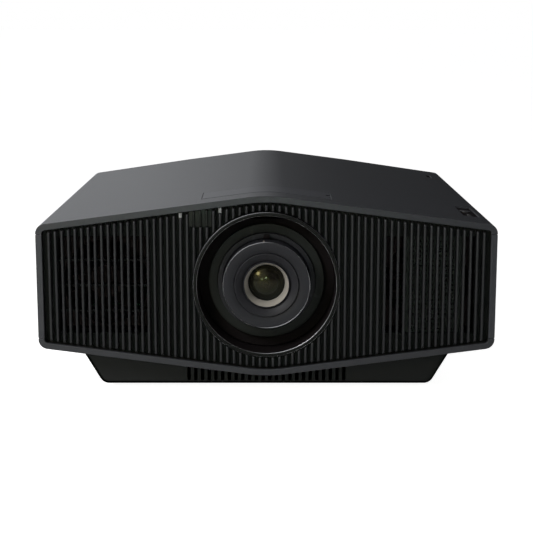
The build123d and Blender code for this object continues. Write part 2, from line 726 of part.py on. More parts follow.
def phosphor_wheel():
    wheel = rod_y(36, 0, (WHEEL_Y - 0.8, WHEEL_Y + 0.8), WHEEL_Z)
    wheel += rod_y(10, 0, (WHEEL_Y - 6, WHEEL_Y + 10), WHEEL_Z)
    return wheel - rod_y(SPINDLE_RADIUS + RUNNING_GAP, 0, (WHEEL_Y - 4.5, WHEEL_Y + 11), WHEEL_Z)


def laser_module():
    return block((-35, 35), LASER_Y, (CHASSIS_Z[1], 142))


def heatsink_and_pipes():
    """Finned sink, joined to the laser module by six heat pipes."""
    plate_y = (170, 176)
    z = (CHASSIS_Z[1], 160)
    fin_count = 20
    fin_pitch = 6.3
    fin_width = 1.6
    sink = block((-62, 62), plate_y, z)
    for index in range(fin_count):
        x = -61 + index * fin_pitch
        sink += block((x, x + fin_width), (plate_y[1], 194), z)
    pipe_y = (LASER_Y[1], plate_y[0])
    pipes = [rod_y(4, x, pipe_y, pipe_z) for x in (-22, 0, 22) for pipe_z in (84, 112)]
    return Compound([sink.solid()] + [pipe.solid() for pipe in pipes])


def circuit_board(x):
    """Board on four posts from the chassis."""
    board = block(x, BOARD_Y, (BOARD_Z, BOARD_TOP))
    for post_x in (x[0] + BOARD_POST_INSET, x[1] - BOARD_POST_INSET):
        for post_y in (BOARD_Y[0] + BOARD_POST_INSET, BOARD_Y[1] - BOARD_POST_INSET):
            board += rod_z(3.0, post_x, post_y, (CHASSIS_Z[1], BOARD_Z))
    return board


def main_board():
    """Board with four square packages, given as (x, y, half width, height)."""
    board = circuit_board((-195, -75))
    packages = ((-150, 20, 18, 14), (-110, 90, 12, 3), (-160, 110, 10, 3), (-120, -50, 14, 9))
    for x, y, half, height in packages:
        board += block((x - half, x + half), (y - half, y + half), (BOARD_TOP, BOARD_TOP + height))
    return board


def power_supply_board():
    """Board with a transformer, a heat spreader and three capacitors."""
    board = circuit_board((75, 195))
    board += block((95, 135), (-40, 5), (BOARD_TOP, BOARD_TOP + 34))
    board += block((150, 154), (-80, 60), (BOARD_TOP, BOARD_TOP + 40))
    for y in (60, 90, 120):
        board += rod_z(11, 120, y, (BOARD_TOP, BOARD_TOP + 32))
    return board


def rear_panel():
    """Flat panel with openings for the sockets and the inlet, and three pairs of vent columns."""
    face = outline(WALL) - upright(*TERMINAL_OPENING)
    inlet_x = (INLET_X - INLET_HALF_X, INLET_X + INLET_HALF_X)
    face -= upright(*inlet_x, INLET_Z - INLET_HALF_Z, INLET_Z + INLET_HALF_Z)
    slots = []
    slot_rows = 9
    row_step = 5.0
    lowest = 114.0
    for row in range(slot_rows):
        for x in (-170, -125, -80, 80, 125, 170):
            slots.append(Pos(x, lowest + row * row_step) * SlotOverall(38, 2.4))
    face -= Sketch() + slots
    panel = prism(face, *REAR_PANEL_Y)
    for x, z in screw_points():
        panel -= rod_y(SCREW_RADIUS, x, (REAR_PANEL_Y[0] - 1, REAR_PANEL_Y[1] + 1), z)
    return panel


def screw_points():
    return [(-205, 70), (-205, 160), (0, 185), (0, 45), (205, 70), (205, 160)]


def rear_screws():
    screws = []
    face = REAR_PANEL_Y[1]
    for x, z in screw_points():
        head = rod_y(3.2, x, (face, face + 1.6), z) - rod_y(1.0, x, (face + 0.8, face + 2), z)
        screws.append((head + rod_y(SCREW_RADIUS, x, (face - 12, face), z)).solid())
    return Compound(screws)


def socket_shell(x, z, width, height, wall=0.8):
    """Metal sleeve, open to the rear, round a socket's hollow of that width and height."""
    half_x, half_z = width / 2, height / 2
    outer_x = (x - half_x - wall, x + half_x + wall)
    outer_z = (z - half_z - wall, z + half_z + wall)
    hollow_y = (SOCKET_Y[0] + 3, SOCKET_Y[1] + 1)
    hollow = block((x - half_x, x + half_x), hollow_y, (z - half_z, z + half_z))
    return block(outer_x, SOCKET_Y, outer_z) - hollow


def terminal_plate():
    """Plate behind the panel's opening, with a close hole for each socket."""
    y = (REAR_PANEL_Y[0] - 2, REAR_PANEL_Y[0])
    through = (y[0] - 1, y[1] + 1)
    plate = block((-175, -45), y, (60, 101))
    holes = [(x, 7.8, 3.4) for x in HDMI_XS]
    holes += [(USB_X, 7.2, 3.8), (LAN_X, 7.0, 7.0), (SERIAL_X, 9.3, 5.1)]
    for x, half_x, half_z in holes:
        plate -= block((x - half_x, x + half_x), through, (TERMINAL_Z - half_z, TERMINAL_Z + half_z))
    for x in JACK_XS:
        plate -= rod_y(JACK_RADIUS, x, through, JACK_Z)
    return plate


def serial_socket():
    """Nine-pin socket: five pins above four."""
    pin_y = (SOCKET_Y[0] + 2, SOCKET_Y[1] - 1)
    pin_pitch = 2.8
    socket = socket_shell(SERIAL_X, TERMINAL_Z, 17.0, 8.6)
    for count, rise in ((5, 1.5), (4, -1.5)):
        for column in range(count):
            x = SERIAL_X + (column - (count - 1) / 2) * pin_pitch
            socket += rod_y(0.5, x, pin_y, TERMINAL_Z + rise)
    return socket


def signal_sockets():
    """Two video sockets, a media socket, a network socket and a serial socket."""
    sockets = [socket_shell(x, TERMINAL_Z, 14.0, 5.2) for x in HDMI_XS]
    sockets.append(socket_shell(USB_X, TERMINAL_Z, 12.8, 6.0))
    sockets.append(socket_shell(LAN_X, TERMINAL_Z, 12.0, 12.0, 1.0))
    sockets.append(serial_socket())
    return Compound([socket.solid() for socket in sockets])


def mini_jacks():
    jacks = []
    for x in JACK_XS:
        bore = rod_y(1.8, x, (SOCKET_Y[0] + 3, SOCKET_Y[1] + 1), JACK_Z)
        jacks.append((rod_y(JACK_RADIUS, x, SOCKET_Y, JACK_Z) - bore).solid())
    return Compound(jacks)


def ac_inlet():
    """Three-pin mains inlet, flush with the rear panel."""
    y = (REAR_PANEL_Y[1] - 22, REAR_PANEL_Y[1])
    z = (INLET_Z - INLET_HALF_Z, INLET_Z + INLET_HALF_Z)
    inlet = block((INLET_X - INLET_HALF_X, INLET_X + INLET_HALF_X), y, z)
    inlet -= block((INLET_X - 12, INLET_X + 12), (y[0] + 4, y[1] + 1), (INLET_Z - 8.5, INLET_Z + 8.5))
    for x, rise in ((-7, -2), (0, 3), (7, -2)):
        pin_x = (INLET_X + x - 1, INLET_X + x + 1)
        inlet += block(pin_x, (y[0] + 3, y[1] - 2), (INLET_Z + rise - 2, INLET_Z + rise + 2))
    return inlet


def all_parts():
    parts = {
        "top_cover": top_cover(),
        "left_side_cover": side_cover(-1),
        "right_side_cover": side_cover(1),
        "bottom_cover": bottom_cover(),
        "base_plinth": base_plinth(),
        "front_grille": front_grille(),
        "lens_bezel": lens_bezel(),
        "ir_window": ir_window(),
        "indicator_light_pipes": indicator_light_pipes(),
        "vent_ducts": vent_ducts(),
        "perforated_shield": perforated_shield(),
        "left_fan_frame": fan_frame(-1),
        "left_fan_rotor": fan_rotor(-1),
        "right_fan_frame": fan_frame(1),
        "right_fan_rotor": fan_rotor(1),
        "lens_barrel": lens_barrel(),
        "zoom_ring": zoom_ring(),
        "zoom_cell": zoom_cell(),
        "zoom_glass": lens_disc(TUBE_BORE - 8.0 - RUNNING_GAP, -141.0, -129.0, 5.0),
        "focus_ring": focus_ring(),
        "front_cell": front_cell(),
        "front_glass": lens_disc(GLASS_RADIUS, *GLASS_Y, GLASS_BULGE, GLASS_SEAT),
        "retaining_ring": retaining_ring(),
        "rear_glass": lens_disc(TUBE_BORE - RUNNING_GAP, -95.0, -87.0, 4.0),
        "lens_shift_base": lens_shift_base(),
        "vertical_guide_rods": vertical_guide_rods(),
        "vertical_carriage": vertical_carriage(),
        "horizontal_guide_rods": horizontal_guide_rods(),
        "horizontal_carriage": horizontal_carriage(),
        "shift_dial_tray": shift_dial_tray(),
        "vertical_shift_dial": vertical_shift_dial(),
        "horizontal_shift_dial": horizontal_shift_dial(),
        "access_cover": access_cover(),
        "control_panel": control_panel(),
        "direction_pad": direction_pad(),
        "enter_button": enter_button(),
        "key_board": key_board(),
        "left_foot_pad": front_foot_pad(-1),
        "left_foot_knob": front_foot_knob(-1),
        "right_foot_pad": front_foot_pad(1),
        "right_foot_knob": front_foot_knob(1),
        "rear_feet": rear_feet(),
        "internal_chassis": internal_chassis(),
        "optical_block": optical_block(),
        "imaging_core": imaging_core(),
        "phosphor_wheel_housing": phosphor_wheel_housing(),
        "phosphor_wheel": phosphor_wheel(),
        "laser_module": laser_module(),
        "heatsink_and_pipes": heatsink_and_pipes(),
        "main_board": main_board(),
        "power_supply_board": power_supply_board(),
        "rear_panel": rear_panel(),
        "rear_screws": rear_screws(),
        "terminal_plate": terminal_plate(),
        "signal_sockets": signal_sockets(),
        "mini_jacks": mini_jacks(),
        "ac_inlet": ac_inlet(),
    }
    for name, y in KEY_YS.items():
        parts[name] = key(y)
    return parts


def write_parts(parts):
    os.makedirs("parts", exist_ok=True)
    for name, shape in parts.items():
        export_step(shape, f"parts/{name}.step")


if __name__ == "__main__":
    write_parts(all_parts())
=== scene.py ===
import json
import math

import bmesh
import bpy
from mathutils import Matrix, Vector


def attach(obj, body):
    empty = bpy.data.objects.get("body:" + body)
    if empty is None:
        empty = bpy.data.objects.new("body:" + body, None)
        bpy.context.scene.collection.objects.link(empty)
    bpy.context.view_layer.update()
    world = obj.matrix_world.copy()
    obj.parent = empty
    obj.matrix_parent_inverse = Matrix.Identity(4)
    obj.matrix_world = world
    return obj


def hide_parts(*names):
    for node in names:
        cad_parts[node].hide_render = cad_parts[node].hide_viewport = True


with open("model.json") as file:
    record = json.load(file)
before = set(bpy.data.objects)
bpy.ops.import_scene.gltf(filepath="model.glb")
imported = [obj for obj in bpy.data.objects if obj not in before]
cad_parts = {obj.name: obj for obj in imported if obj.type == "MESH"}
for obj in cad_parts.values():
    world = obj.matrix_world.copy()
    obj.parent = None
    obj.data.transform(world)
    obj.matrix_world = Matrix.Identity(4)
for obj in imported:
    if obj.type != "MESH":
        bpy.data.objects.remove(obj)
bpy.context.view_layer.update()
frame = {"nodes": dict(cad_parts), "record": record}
nodes = frame["nodes"]

MM = 0.001

# Casing, in millimetres, as in the CAD model
HALF_WIDTH = 230.0
FRONT_Y = -236.0
REAR_Y = 236.0
REAR_FLAT_HALF = 105.0
REAR_SWEEP = 20.0
RIDGE_Z = 206.4
SHOULDER_Z = 176.0
HIP_Z = 50.6
KEEL_Z = 20.8
RIDGE_RADIUS = 150.0
CORNER_RADIUS = 10.0
WALL = 3.0
BAND = 6.3
HALF_SEAM = 0.2
UPPER_SEAM_Z = 166.6
LOWER_SEAM_Z = 60.6
ROOF_SLOPE = (RIDGE_Z - SHOULDER_Z) / HALF_WIDTH
KEEL_SLOPE = (HIP_Z - KEEL_Z) / HALF_WIDTH
ROOF_ANGLE = math.atan(ROOF_SLOPE)

# Openings in the roof
LID_HALF = 66.0
LID_Y = (-202.0, -152.0)
LID_FRONT_SEAM = 1.6
PANEL_X = 209.8
PANEL_HALF = 8.2 * math.cos(ROOF_ANGLE)
PANEL_Y = (-194.0, -124.0)
MARK_X = (PANEL_X - 5.0 * math.cos(ROOF_ANGLE), PANEL_X + 0.5 * math.cos(ROOF_ANGLE))
MARK_Y = (144.0, 170.0)
MARK_DEPTH = 0.8

# Grille
LOUVRE_SIDE_COUNT = 33
LOUVRE_PITCH = 6.58
LOUVRE_HALF = 1.3
LOUVRE_FRONT_Y = -234.5
LOUVRE_TOP_GAP = 2.7
LOUVRE_FOOT_GAP = 1.8
LOUVRE_CAP_GAP = 0.4
PLATE_Y = (-225.0, -222.0)
RIM_FRONT_Y = -232.0
VENT_X = (118.0, 209.0)
VENT_Z = (64.0, 163.0)
WINDOW_X = (-77.3, -54.3)
WINDOW_Z = 174.0
PIPE_LOUVRES = (-13, -7)
PIPE_HALF = 1.5
PIPE_HEIGHT = 5.3

# Lens
LENS_Z = 114.9
BEZEL_HOLE = 74.2
ROUND_STEPS = 128
WELL_RADIUS = 70.3
SHROUD_RADIUS = 69.0
SHROUD_TOP = LENS_Z + 63.0
SHROUD_BORE = 58.85
FACE_BORE = 49.7
FACE_REAR_Y = -201.0
RING_RADIUS = 43.5
GLASS_SEAT_Y = -208.5
CONE_FOOT_Y = -220.5
EDGE_LINE_WIDTH = 0.3

# Plinth
PLINTH_HALF = 168.5
PLINTH_FLARE = 0.59
PLINTH_Y = 210.2
PLINTH_FLOOR = 7.0
PLINTH_RADIUS = 10.5
SLOT_COUNT = 24
SLOT_PITCH = 6.95
SLOT_WIDTH = 3.5
SLOT_TOP_GAP = 1.8

# Dark sheet behind the slots of the rear panel: painted shade that shuts out the light seen through the
# casing
SHADE_SHEET_LEFT = (("left", -192.0), ("right", 58.0))
SHADE_SHEET_WIDTH = 134.0
SHADE_SHEET_Z = (108.0, 160.0)
SHADE_SHEET_Y = (210.1, 210.9)

# Light: the strength of the fill and of the floor's glow, the wall's brightness in gloss from far left (0)
# to far right (1), and the share of it that is left at the wall's foot
FILL_STRENGTH = 0.05
FLOOR_GLOW = 0.95
WALL_LEVELS = ((0.0, 0.25), (0.3, 0.75), (0.44, 0.66), (0.49, 0.3), (0.53, 0.06), (0.7, 0.01), (1.0, 0.01))
WALL_FOOT = 0.05


# ---------------------------------------------------------------- camera, floor and light

def add_camera():
    data = bpy.data.cameras.new("camera")
    data.sensor_width = 36.0
    data.lens = 89.83
    data.clip_end = 50.0
    camera = bpy.data.objects.new("camera", data)
    camera.location = (0.0, -1.5406, 0.3769)
    camera.rotation_euler = (math.radians(79.47), 0.0, 0.0)
    bpy.context.scene.collection.objects.link(camera)
    bpy.context.scene.camera = camera


def add_area_light(name, place, target, size, power, colour=(1.0, 1.0, 1.0)):
    data = bpy.data.lights.new(name, "AREA")
    data.shape = "RECTANGLE"
    data.size, data.size_y = size
    data.energy = power
    data.color = colour
    light = bpy.data.objects.new(name, data)
    light.location = place
    light.visible_camera = False
    direction = Vector(target) - Vector(place)
    light.rotation_euler = direction.to_track_quat("-Z", "Y").to_euler()
    bpy.context.scene.collection.objects.link(light)


def ray_choice(tree, path, kind, otherwise, chosen):
    """One background for one kind of ray and another for the rest."""
    mix = tree.nodes.new("ShaderNodeMixShader")
    tree.links.new(path.outputs[kind], mix.inputs["Fac"])
    tree.links.new(otherwise, mix.inputs[1])
    tree.links.new(chosen, mix.inputs[2])
    return mix.outputs["Shader"]


def backdrop(tree, colour, strength):
    node = tree.nodes.new("ShaderNodeBackground")
    node.inputs["Color"].default_value = (*colour, 1.0)
    node.inputs["Strength"].default_value = strength
    return node


def add_world():
    """White to the camera, an even fill for dull surfaces and, for gloss, a wall bright on the left."""
    world = bpy.data.worlds.new("studio")
    world.use_nodes = True
    tree = world.node_tree
    tree.nodes.clear()
    white = backdrop(tree, (1.0, 1.0, 1.0), 1.0)
    fill = backdrop(tree, (0.97, 0.98, 1.0), FILL_STRENGTH)
    wall = backdrop(tree, (0.95, 0.97, 1.0), 1.0)
    direction = tree.nodes.new("ShaderNodeTexCoord")
    split = tree.nodes.new("ShaderNodeSeparateXYZ")
    tree.links.new(direction.outputs["Generated"], split.inputs["Vector"])
    ramp = tree.nodes.new("ShaderNodeValToRGB")
    ramp.color_ramp.elements.remove(ramp.color_ramp.elements[1])
    ramp.color_ramp.elements[0].position, level = WALL_LEVELS[0]
    ramp.color_ramp.elements[0].color = (level, level, level, 1.0)
    for place, level in WALL_LEVELS[1:]:
        ramp.color_ramp.elements.new(place).color = (level, level, level, 1.0)
    across = remap(tree, split.outputs["X"], 0.0, 1.0, -1.0, 1.0)
    tree.links.new(across, ramp.inputs["Fac"])
    fade = tree.nodes.new("ShaderNodeMath")
    fade.operation = "MULTIPLY"
    tree.links.new(ramp.outputs["Color"], fade.inputs[0])
    tree.links.new(remap(tree, split.outputs["Z"], WALL_FOOT, 1.0, -0.4, 0.02), fade.inputs[1])
    tree.links.new(fade.outputs["Value"], wall.inputs["Strength"])
    path = tree.nodes.new("ShaderNodeLightPath")
    shaded = ray_choice(tree, path, "Is Glossy Ray", fill.outputs["Background"], wall.outputs["Background"])
    seen = ray_choice(tree, path, "Is Camera Ray", shaded, white.outputs["Background"])
    out = tree.nodes.new("ShaderNodeOutputWorld")
    tree.links.new(seen, out.inputs["Surface"])
    bpy.context.scene.world = world


def add_floor(material):
    half = 60.0
    mesh = bpy.data.meshes.new("floor")
    corners = [(-half, -half, 0), (half, -half, 0), (half, half, 0), (-half, half, 0)]
    mesh.from_pydata(corners, [], [(0, 1, 2, 3)])
    mesh.materials.append(material)
    floor = bpy.data.objects.new("floor", mesh)
    bpy.context.scene.collection.objects.link(floor)


def add_studio():
    add_world()
    front = (0.0, -0.236, 0.12)
    add_area_light("key", (-0.8, -1.02, 0.92), front, (0.45, 0.45), 12.0)
    add_area_light("fill", (1.1, -1.5, 1.2), front, (0.9, 0.9), 3.8)
    add_area_light("top", (-0.4, 0.2, 2.4), (0.0, 0.0, 0.0), (2.4, 2.4), 3.0)
    add_area_light("spark", (-0.03, -1.73, 0.278), front, (0.08, 0.08), 0.8, (0.7, 1.0, 0.8))
    add_area_light("green_spark", (-0.36, -1.69, 0.17), front, (0.13, 0.13), 0.45, (0.75, 1.0, 0.65))
    add_area_light("warm_spark", (-0.64, -1.49, 0.58), front, (0.22, 0.22), 2.6, (1.0, 0.88, 0.6))


# ---------------------------------------------------------------- materials

def node_tree(name):
    material = bpy.data.materials.new(name)
    material.use_nodes = True
    tree = material.node_tree
    return material, tree, tree.nodes["Principled BSDF"]


def noise(tree, scale, detail=2.0, stretch=(1.0, 1.0, 1.0)):
    """Noise over the piece's own coordinates; scale is in cells per metre."""
    coords = tree.nodes.new("ShaderNodeTexCoord")
    mapping = tree.nodes.new("ShaderNodeMapping")
    mapping.inputs["Scale"].default_value = stretch
    texture = tree.nodes.new("ShaderNodeTexNoise")
    texture.inputs["Scale"].default_value = scale
    texture.inputs["Detail"].default_value = detail
    tree.links.new(coords.outputs["Object"], mapping.inputs["Vector"])
    tree.links.new(mapping.outputs["Vector"], texture.inputs["Vector"])
    return texture.outputs["Fac"]


def remap(tree, value, low, high, start=0.3, end=0.7):
    node = tree.nodes.new("ShaderNodeMapRange")
    node.inputs["From Min"].default_value = start
    node.inputs["From Max"].default_value = end
    node.inputs["To Min"].default_value = low
    node.inputs["To Max"].default_value = high
    tree.links.new(value, node.inputs["Value"])
    return node.outputs["Result"]


def blend_colours(tree, factor, first, second):
    node = tree.nodes.new("ShaderNodeMix")
    node.data_type = "RGBA"
    tree.links.new(factor, node.inputs["Factor"])
    for socket, colour in ((node.inputs[6], first), (node.inputs[7], second)):
        if isinstance(colour, tuple):
            socket.default_value = (*colour, 1.0)
        else:
            tree.links.new(colour, socket)
    return node.outputs[2]


def scaled(colour, factor):
    return tuple(min(channel * factor, 1.0) for channel in colour)


def edge_mask(tree):
    """Near 1 along convex edges and 0 elsewhere; it places the painted edge highlight."""
    geometry = tree.nodes.new("ShaderNodeNewGeometry")
    return remap(tree, geometry.outputs["Pointiness"], 0.0, 1.0, 0.52, 0.58)


def bump(tree, height, distance, strength=1.0, base=None):
    node = tree.nodes.new("ShaderNodeBump")
    node.inputs["Strength"].default_value = strength
    node.inputs["Distance"].default_value = distance
    tree.links.new(height, node.inputs["Height"])
    if base is not None:
        tree.links.new(base, node.inputs["Normal"])
    return node.outputs["Normal"]


def moulded_plastic(name, colour, roughness, grain=2600.0, depth=0.00004, edge_highlight=1.6, specular=0.4):
    """Spark-eroded plastic: a fine grain, a slow cloudiness and a painted highlight that makes convex edges
    slightly paler.
    """
    material, tree, shader = node_tree(name)
    fine = noise(tree, grain, 3.0)
    cloud = noise(tree, 14.0, 3.0)
    toned = blend_colours(tree, remap(tree, fine, 0.0, 1.0), scaled(colour, 0.86), scaled(colour, 1.14))
    clouded = blend_colours(tree, remap(tree, cloud, 0.0, 0.35), toned, scaled(colour, 1.25))
    # Painted highlight: convex edges get a paler copy of the colour.
    highlighted = blend_colours(tree, edge_mask(tree), clouded, scaled(colour, edge_highlight))
    tree.links.new(highlighted, shader.inputs["Base Color"])
    tree.links.new(remap(tree, fine, roughness - 0.05, roughness + 0.07), shader.inputs["Roughness"])
    tree.links.new(bump(tree, fine, depth), shader.inputs["Normal"])
    shader.inputs["Specular IOR Level"].default_value = specular
    return material


def turned_metal(name, colour, roughness, metallic=0.0, lathe_depth=0.000006, specular=0.5):
    """Anodised or painted metal with faint rings left by the lathe, round the lens axis."""
    material, tree, shader = node_tree(name)
    rings = lathe_rings(tree, 2400.0)
    speckle = noise(tree, 3200.0, 2.0)
    toned = blend_colours(tree, remap(tree, speckle, 0.0, 1.0), scaled(colour, 0.85), scaled(colour, 1.15))
    # Painted highlight: convex edges get a colour twice as pale.
    highlighted = blend_colours(tree, edge_mask(tree), toned, scaled(colour, 2.0))
    tree.links.new(highlighted, shader.inputs["Base Color"])
    tree.links.new(remap(tree, rings, roughness - 0.06, roughness + 0.08), shader.inputs["Roughness"])
    ringed = bump(tree, rings, lathe_depth)
    tree.links.new(bump(tree, speckle, 0.00001, base=ringed), shader.inputs["Normal"])
    shader.inputs["Metallic"].default_value = metallic
    shader.inputs["Specular IOR Level"].default_value = specular
    return material


def lathe_rings(tree, scale):
    """Noise that changes only with the distance from the lens axis."""
    coords = tree.nodes.new("ShaderNodeTexCoord")
    offset = tree.nodes.new("ShaderNodeVectorMath")
    offset.operation = "SUBTRACT"
    offset.inputs[1].default_value = (0.0, 0.0, LENS_Z * MM)
    flat = tree.nodes.new("ShaderNodeVectorMath")
    flat.operation = "MULTIPLY"
    flat.inputs[1].default_value = (1.0, 0.0, 1.0)
    radius = tree.nodes.new("ShaderNodeVectorMath")
    radius.operation = "LENGTH"
    rings = tree.nodes.new("ShaderNodeTexNoise")
    rings.noise_dimensions = "1D"
    rings.inputs["Scale"].default_value = scale
    rings.inputs["Detail"].default_value = 2.0
    tree.links.new(coords.outputs["Object"], offset.inputs[0])
    tree.links.new(offset.outputs[0], flat.inputs[0])
    tree.links.new(flat.outputs[0], radius.inputs[0])
    tree.links.new(radius.outputs["Value"], rings.inputs["W"])
    return rings.outputs["Fac"]


def brushed_metal(name, colour, roughness, stretch=(1.0, 1.0, 40.0)):
    """Bare metal with brush lines and a little tarnish."""
    material, tree, shader = node_tree(name)
    lines = noise(tree, 300.0, 4.0, stretch)
    tarnish = noise(tree, 40.0, 3.0)
    toned = blend_colours(tree, remap(tree, tarnish, 0.0, 1.0), colour, scaled(colour, 0.7))
    tree.links.new(toned, shader.inputs["Base Color"])
    tree.links.new(remap(tree, lines, roughness - 0.08, roughness + 0.12), shader.inputs["Roughness"])
    tree.links.new(bump(tree, lines, 0.00001), shader.inputs["Normal"])
    shader.inputs["Metallic"].default_value = 1.0
    return material


def cast_metal(name, colour, roughness):
    """Die-cast alloy, blasted: coarse grain and a dull sheen."""
    material, tree, shader = node_tree(name)
    grain = noise(tree, 900.0, 4.0)
    toned = blend_colours(tree, remap(tree, grain, 0.0, 1.0), scaled(colour, 0.8), scaled(colour, 1.15))
    tree.links.new(toned, shader.inputs["Base Color"])
    tree.links.new(remap(tree, grain, roughness - 0.05, roughness + 0.1), shader.inputs["Roughness"])
    tree.links.new(bump(tree, grain, 0.00006), shader.inputs["Normal"])
    shader.inputs["Metallic"].default_value = 0.85
    return material


def rubber(name, colour):
    material, tree, shader = node_tree(name)
    grain = noise(tree, 1500.0, 3.0)
    dust = noise(tree, 60.0, 4.0)
    toned = blend_colours(tree, remap(tree, dust, 0.0, 1.0), colour, scaled(colour, 1.8))
    tree.links.new(toned, shader.inputs["Base Color"])
    tree.links.new(remap(tree, grain, 0.72, 0.9), shader.inputs["Roughness"])
    tree.links.new(bump(tree, grain, 0.00005), shader.inputs["Normal"])
    shader.inputs["Specular IOR Level"].default_value = 0.3
    return material


def circuit_board(name):
    """Green solder mask over a coarse pattern of copper tracks."""
    material, tree, shader = node_tree(name)
    coords = tree.nodes.new("ShaderNodeTexCoord")
    tracks = tree.nodes.new("ShaderNodeTexBrick")
    tracks.inputs["Scale"].default_value = 260.0
    tracks.inputs["Mortar Size"].default_value = 0.03
    tracks.inputs["Color1"].default_value = (0.01, 0.07, 0.03, 1.0)
    tracks.inputs["Color2"].default_value = (0.012, 0.09, 0.035, 1.0)
    tracks.inputs["Mortar"].default_value = (0.03, 0.16, 0.06, 1.0)
    tree.links.new(coords.outputs["Object"], tracks.inputs["Vector"])
    tree.links.new(tracks.outputs["Color"], shader.inputs["Base Color"])
    tree.links.new(bump(tree, tracks.outputs["Fac"], 0.00003), shader.inputs["Normal"])
    tree.links.new(remap(tree, noise(tree, 400.0), 0.3, 0.5), shader.inputs["Roughness"])
    return material


def coated_glass(name, colour, film, roughness=0.02):
    """Lens glass with a thin anti-reflection film, in nanometres, and traces of dust."""
    material, tree, shader = node_tree(name)
    dust = noise(tree, 700.0, 4.0)
    tinted = blend_colours(tree, remap(tree, dust, 0.0, 1.0, 0.6, 0.8), colour, scaled(colour, 1.1))
    tree.links.new(tinted, shader.inputs["Base Color"])
    tree.links.new(remap(tree, dust, roughness, roughness + 0.03, 0.6, 0.9), shader.inputs["Roughness"])
    shader.inputs["Transmission Weight"].default_value = 1.0
    shader.inputs["IOR"].default_value = 1.6
    shader.inputs["Thin Film Thickness"].default_value = film
    shader.inputs["Thin Film IOR"].default_value = 1.38
    return material


def deep_glass(name, colour, film, roughness):
    """A stack of coated elements seen as one: dark, with a soft gold reflection under a sharp clear one."""
    material, tree, shader = node_tree(name)
    rings = lathe_rings(tree, 420.0)
    toned = blend_colours(tree, remap(tree, rings, 0.0, 1.0), scaled(colour, 0.6), scaled(colour, 1.5))
    tree.links.new(toned, shader.inputs["Base Color"])
    tree.links.new(remap(tree, rings, roughness - 0.04, roughness + 0.04), shader.inputs["Roughness"])
    shader.inputs["IOR"].default_value = 1.6
    shader.inputs["Thin Film Thickness"].default_value = film
    shader.inputs["Thin Film IOR"].default_value = 1.15
    shader.inputs["Specular IOR Level"].default_value = 0.17
    shader.inputs["Coat Weight"].default_value = 0.2
    shader.inputs["Coat Roughness"].default_value = 0.03
    return material


def smoked_plastic(name, colour, roughness, specular):
    material, tree, shader = node_tree(name)
    haze = noise(tree, 500.0, 3.0)
    toned = blend_colours(tree, remap(tree, haze, 0.0, 1.0), colour, scaled(colour, 1.3))
    tree.links.new(toned, shader.inputs["Base Color"])
    tree.links.new(remap(tree, haze, roughness, roughness + 0.08), shader.inputs["Roughness"])
    tree.links.new(bump(tree, haze, 0.000004), shader.inputs["Normal"])
    shader.inputs["Specular IOR Level"].default_value = specular
    return material


def pale_floor(name):
    """Matt paper, lifted to near white where it is looked at directly so that only the soft shadow shows."""
    material, tree, shader = node_tree(name)
    cloud = noise(tree, 3.0, 2.0)
    toned = blend_colours(tree, remap(tree, cloud, 0.0, 1.0), (0.8, 0.8, 0.805), (0.82, 0.82, 0.82))
    tree.links.new(toned, shader.inputs["Base Color"])
    tree.links.new(remap(tree, cloud, 0.75, 0.85), shader.inputs["Roughness"])
    shader.inputs["Specular IOR Level"].default_value = 0.1
    glow = tree.nodes.new("ShaderNodeEmission")
    glow.inputs["Strength"].default_value = FLOOR_GLOW
    lifted = tree.nodes.new("ShaderNodeAddShader")
    tree.links.new(shader.outputs["BSDF"], lifted.inputs[0])
    tree.links.new(glow.outputs["Emission"], lifted.inputs[1])
    path = tree.nodes.new("ShaderNodeLightPath")
    seen = ray_choice(tree, path, "Is Camera Ray", shader.outputs["BSDF"], lifted.outputs["Shader"])
    tree.links.new(seen, tree.nodes["Material Output"].inputs["Surface"])
    return material


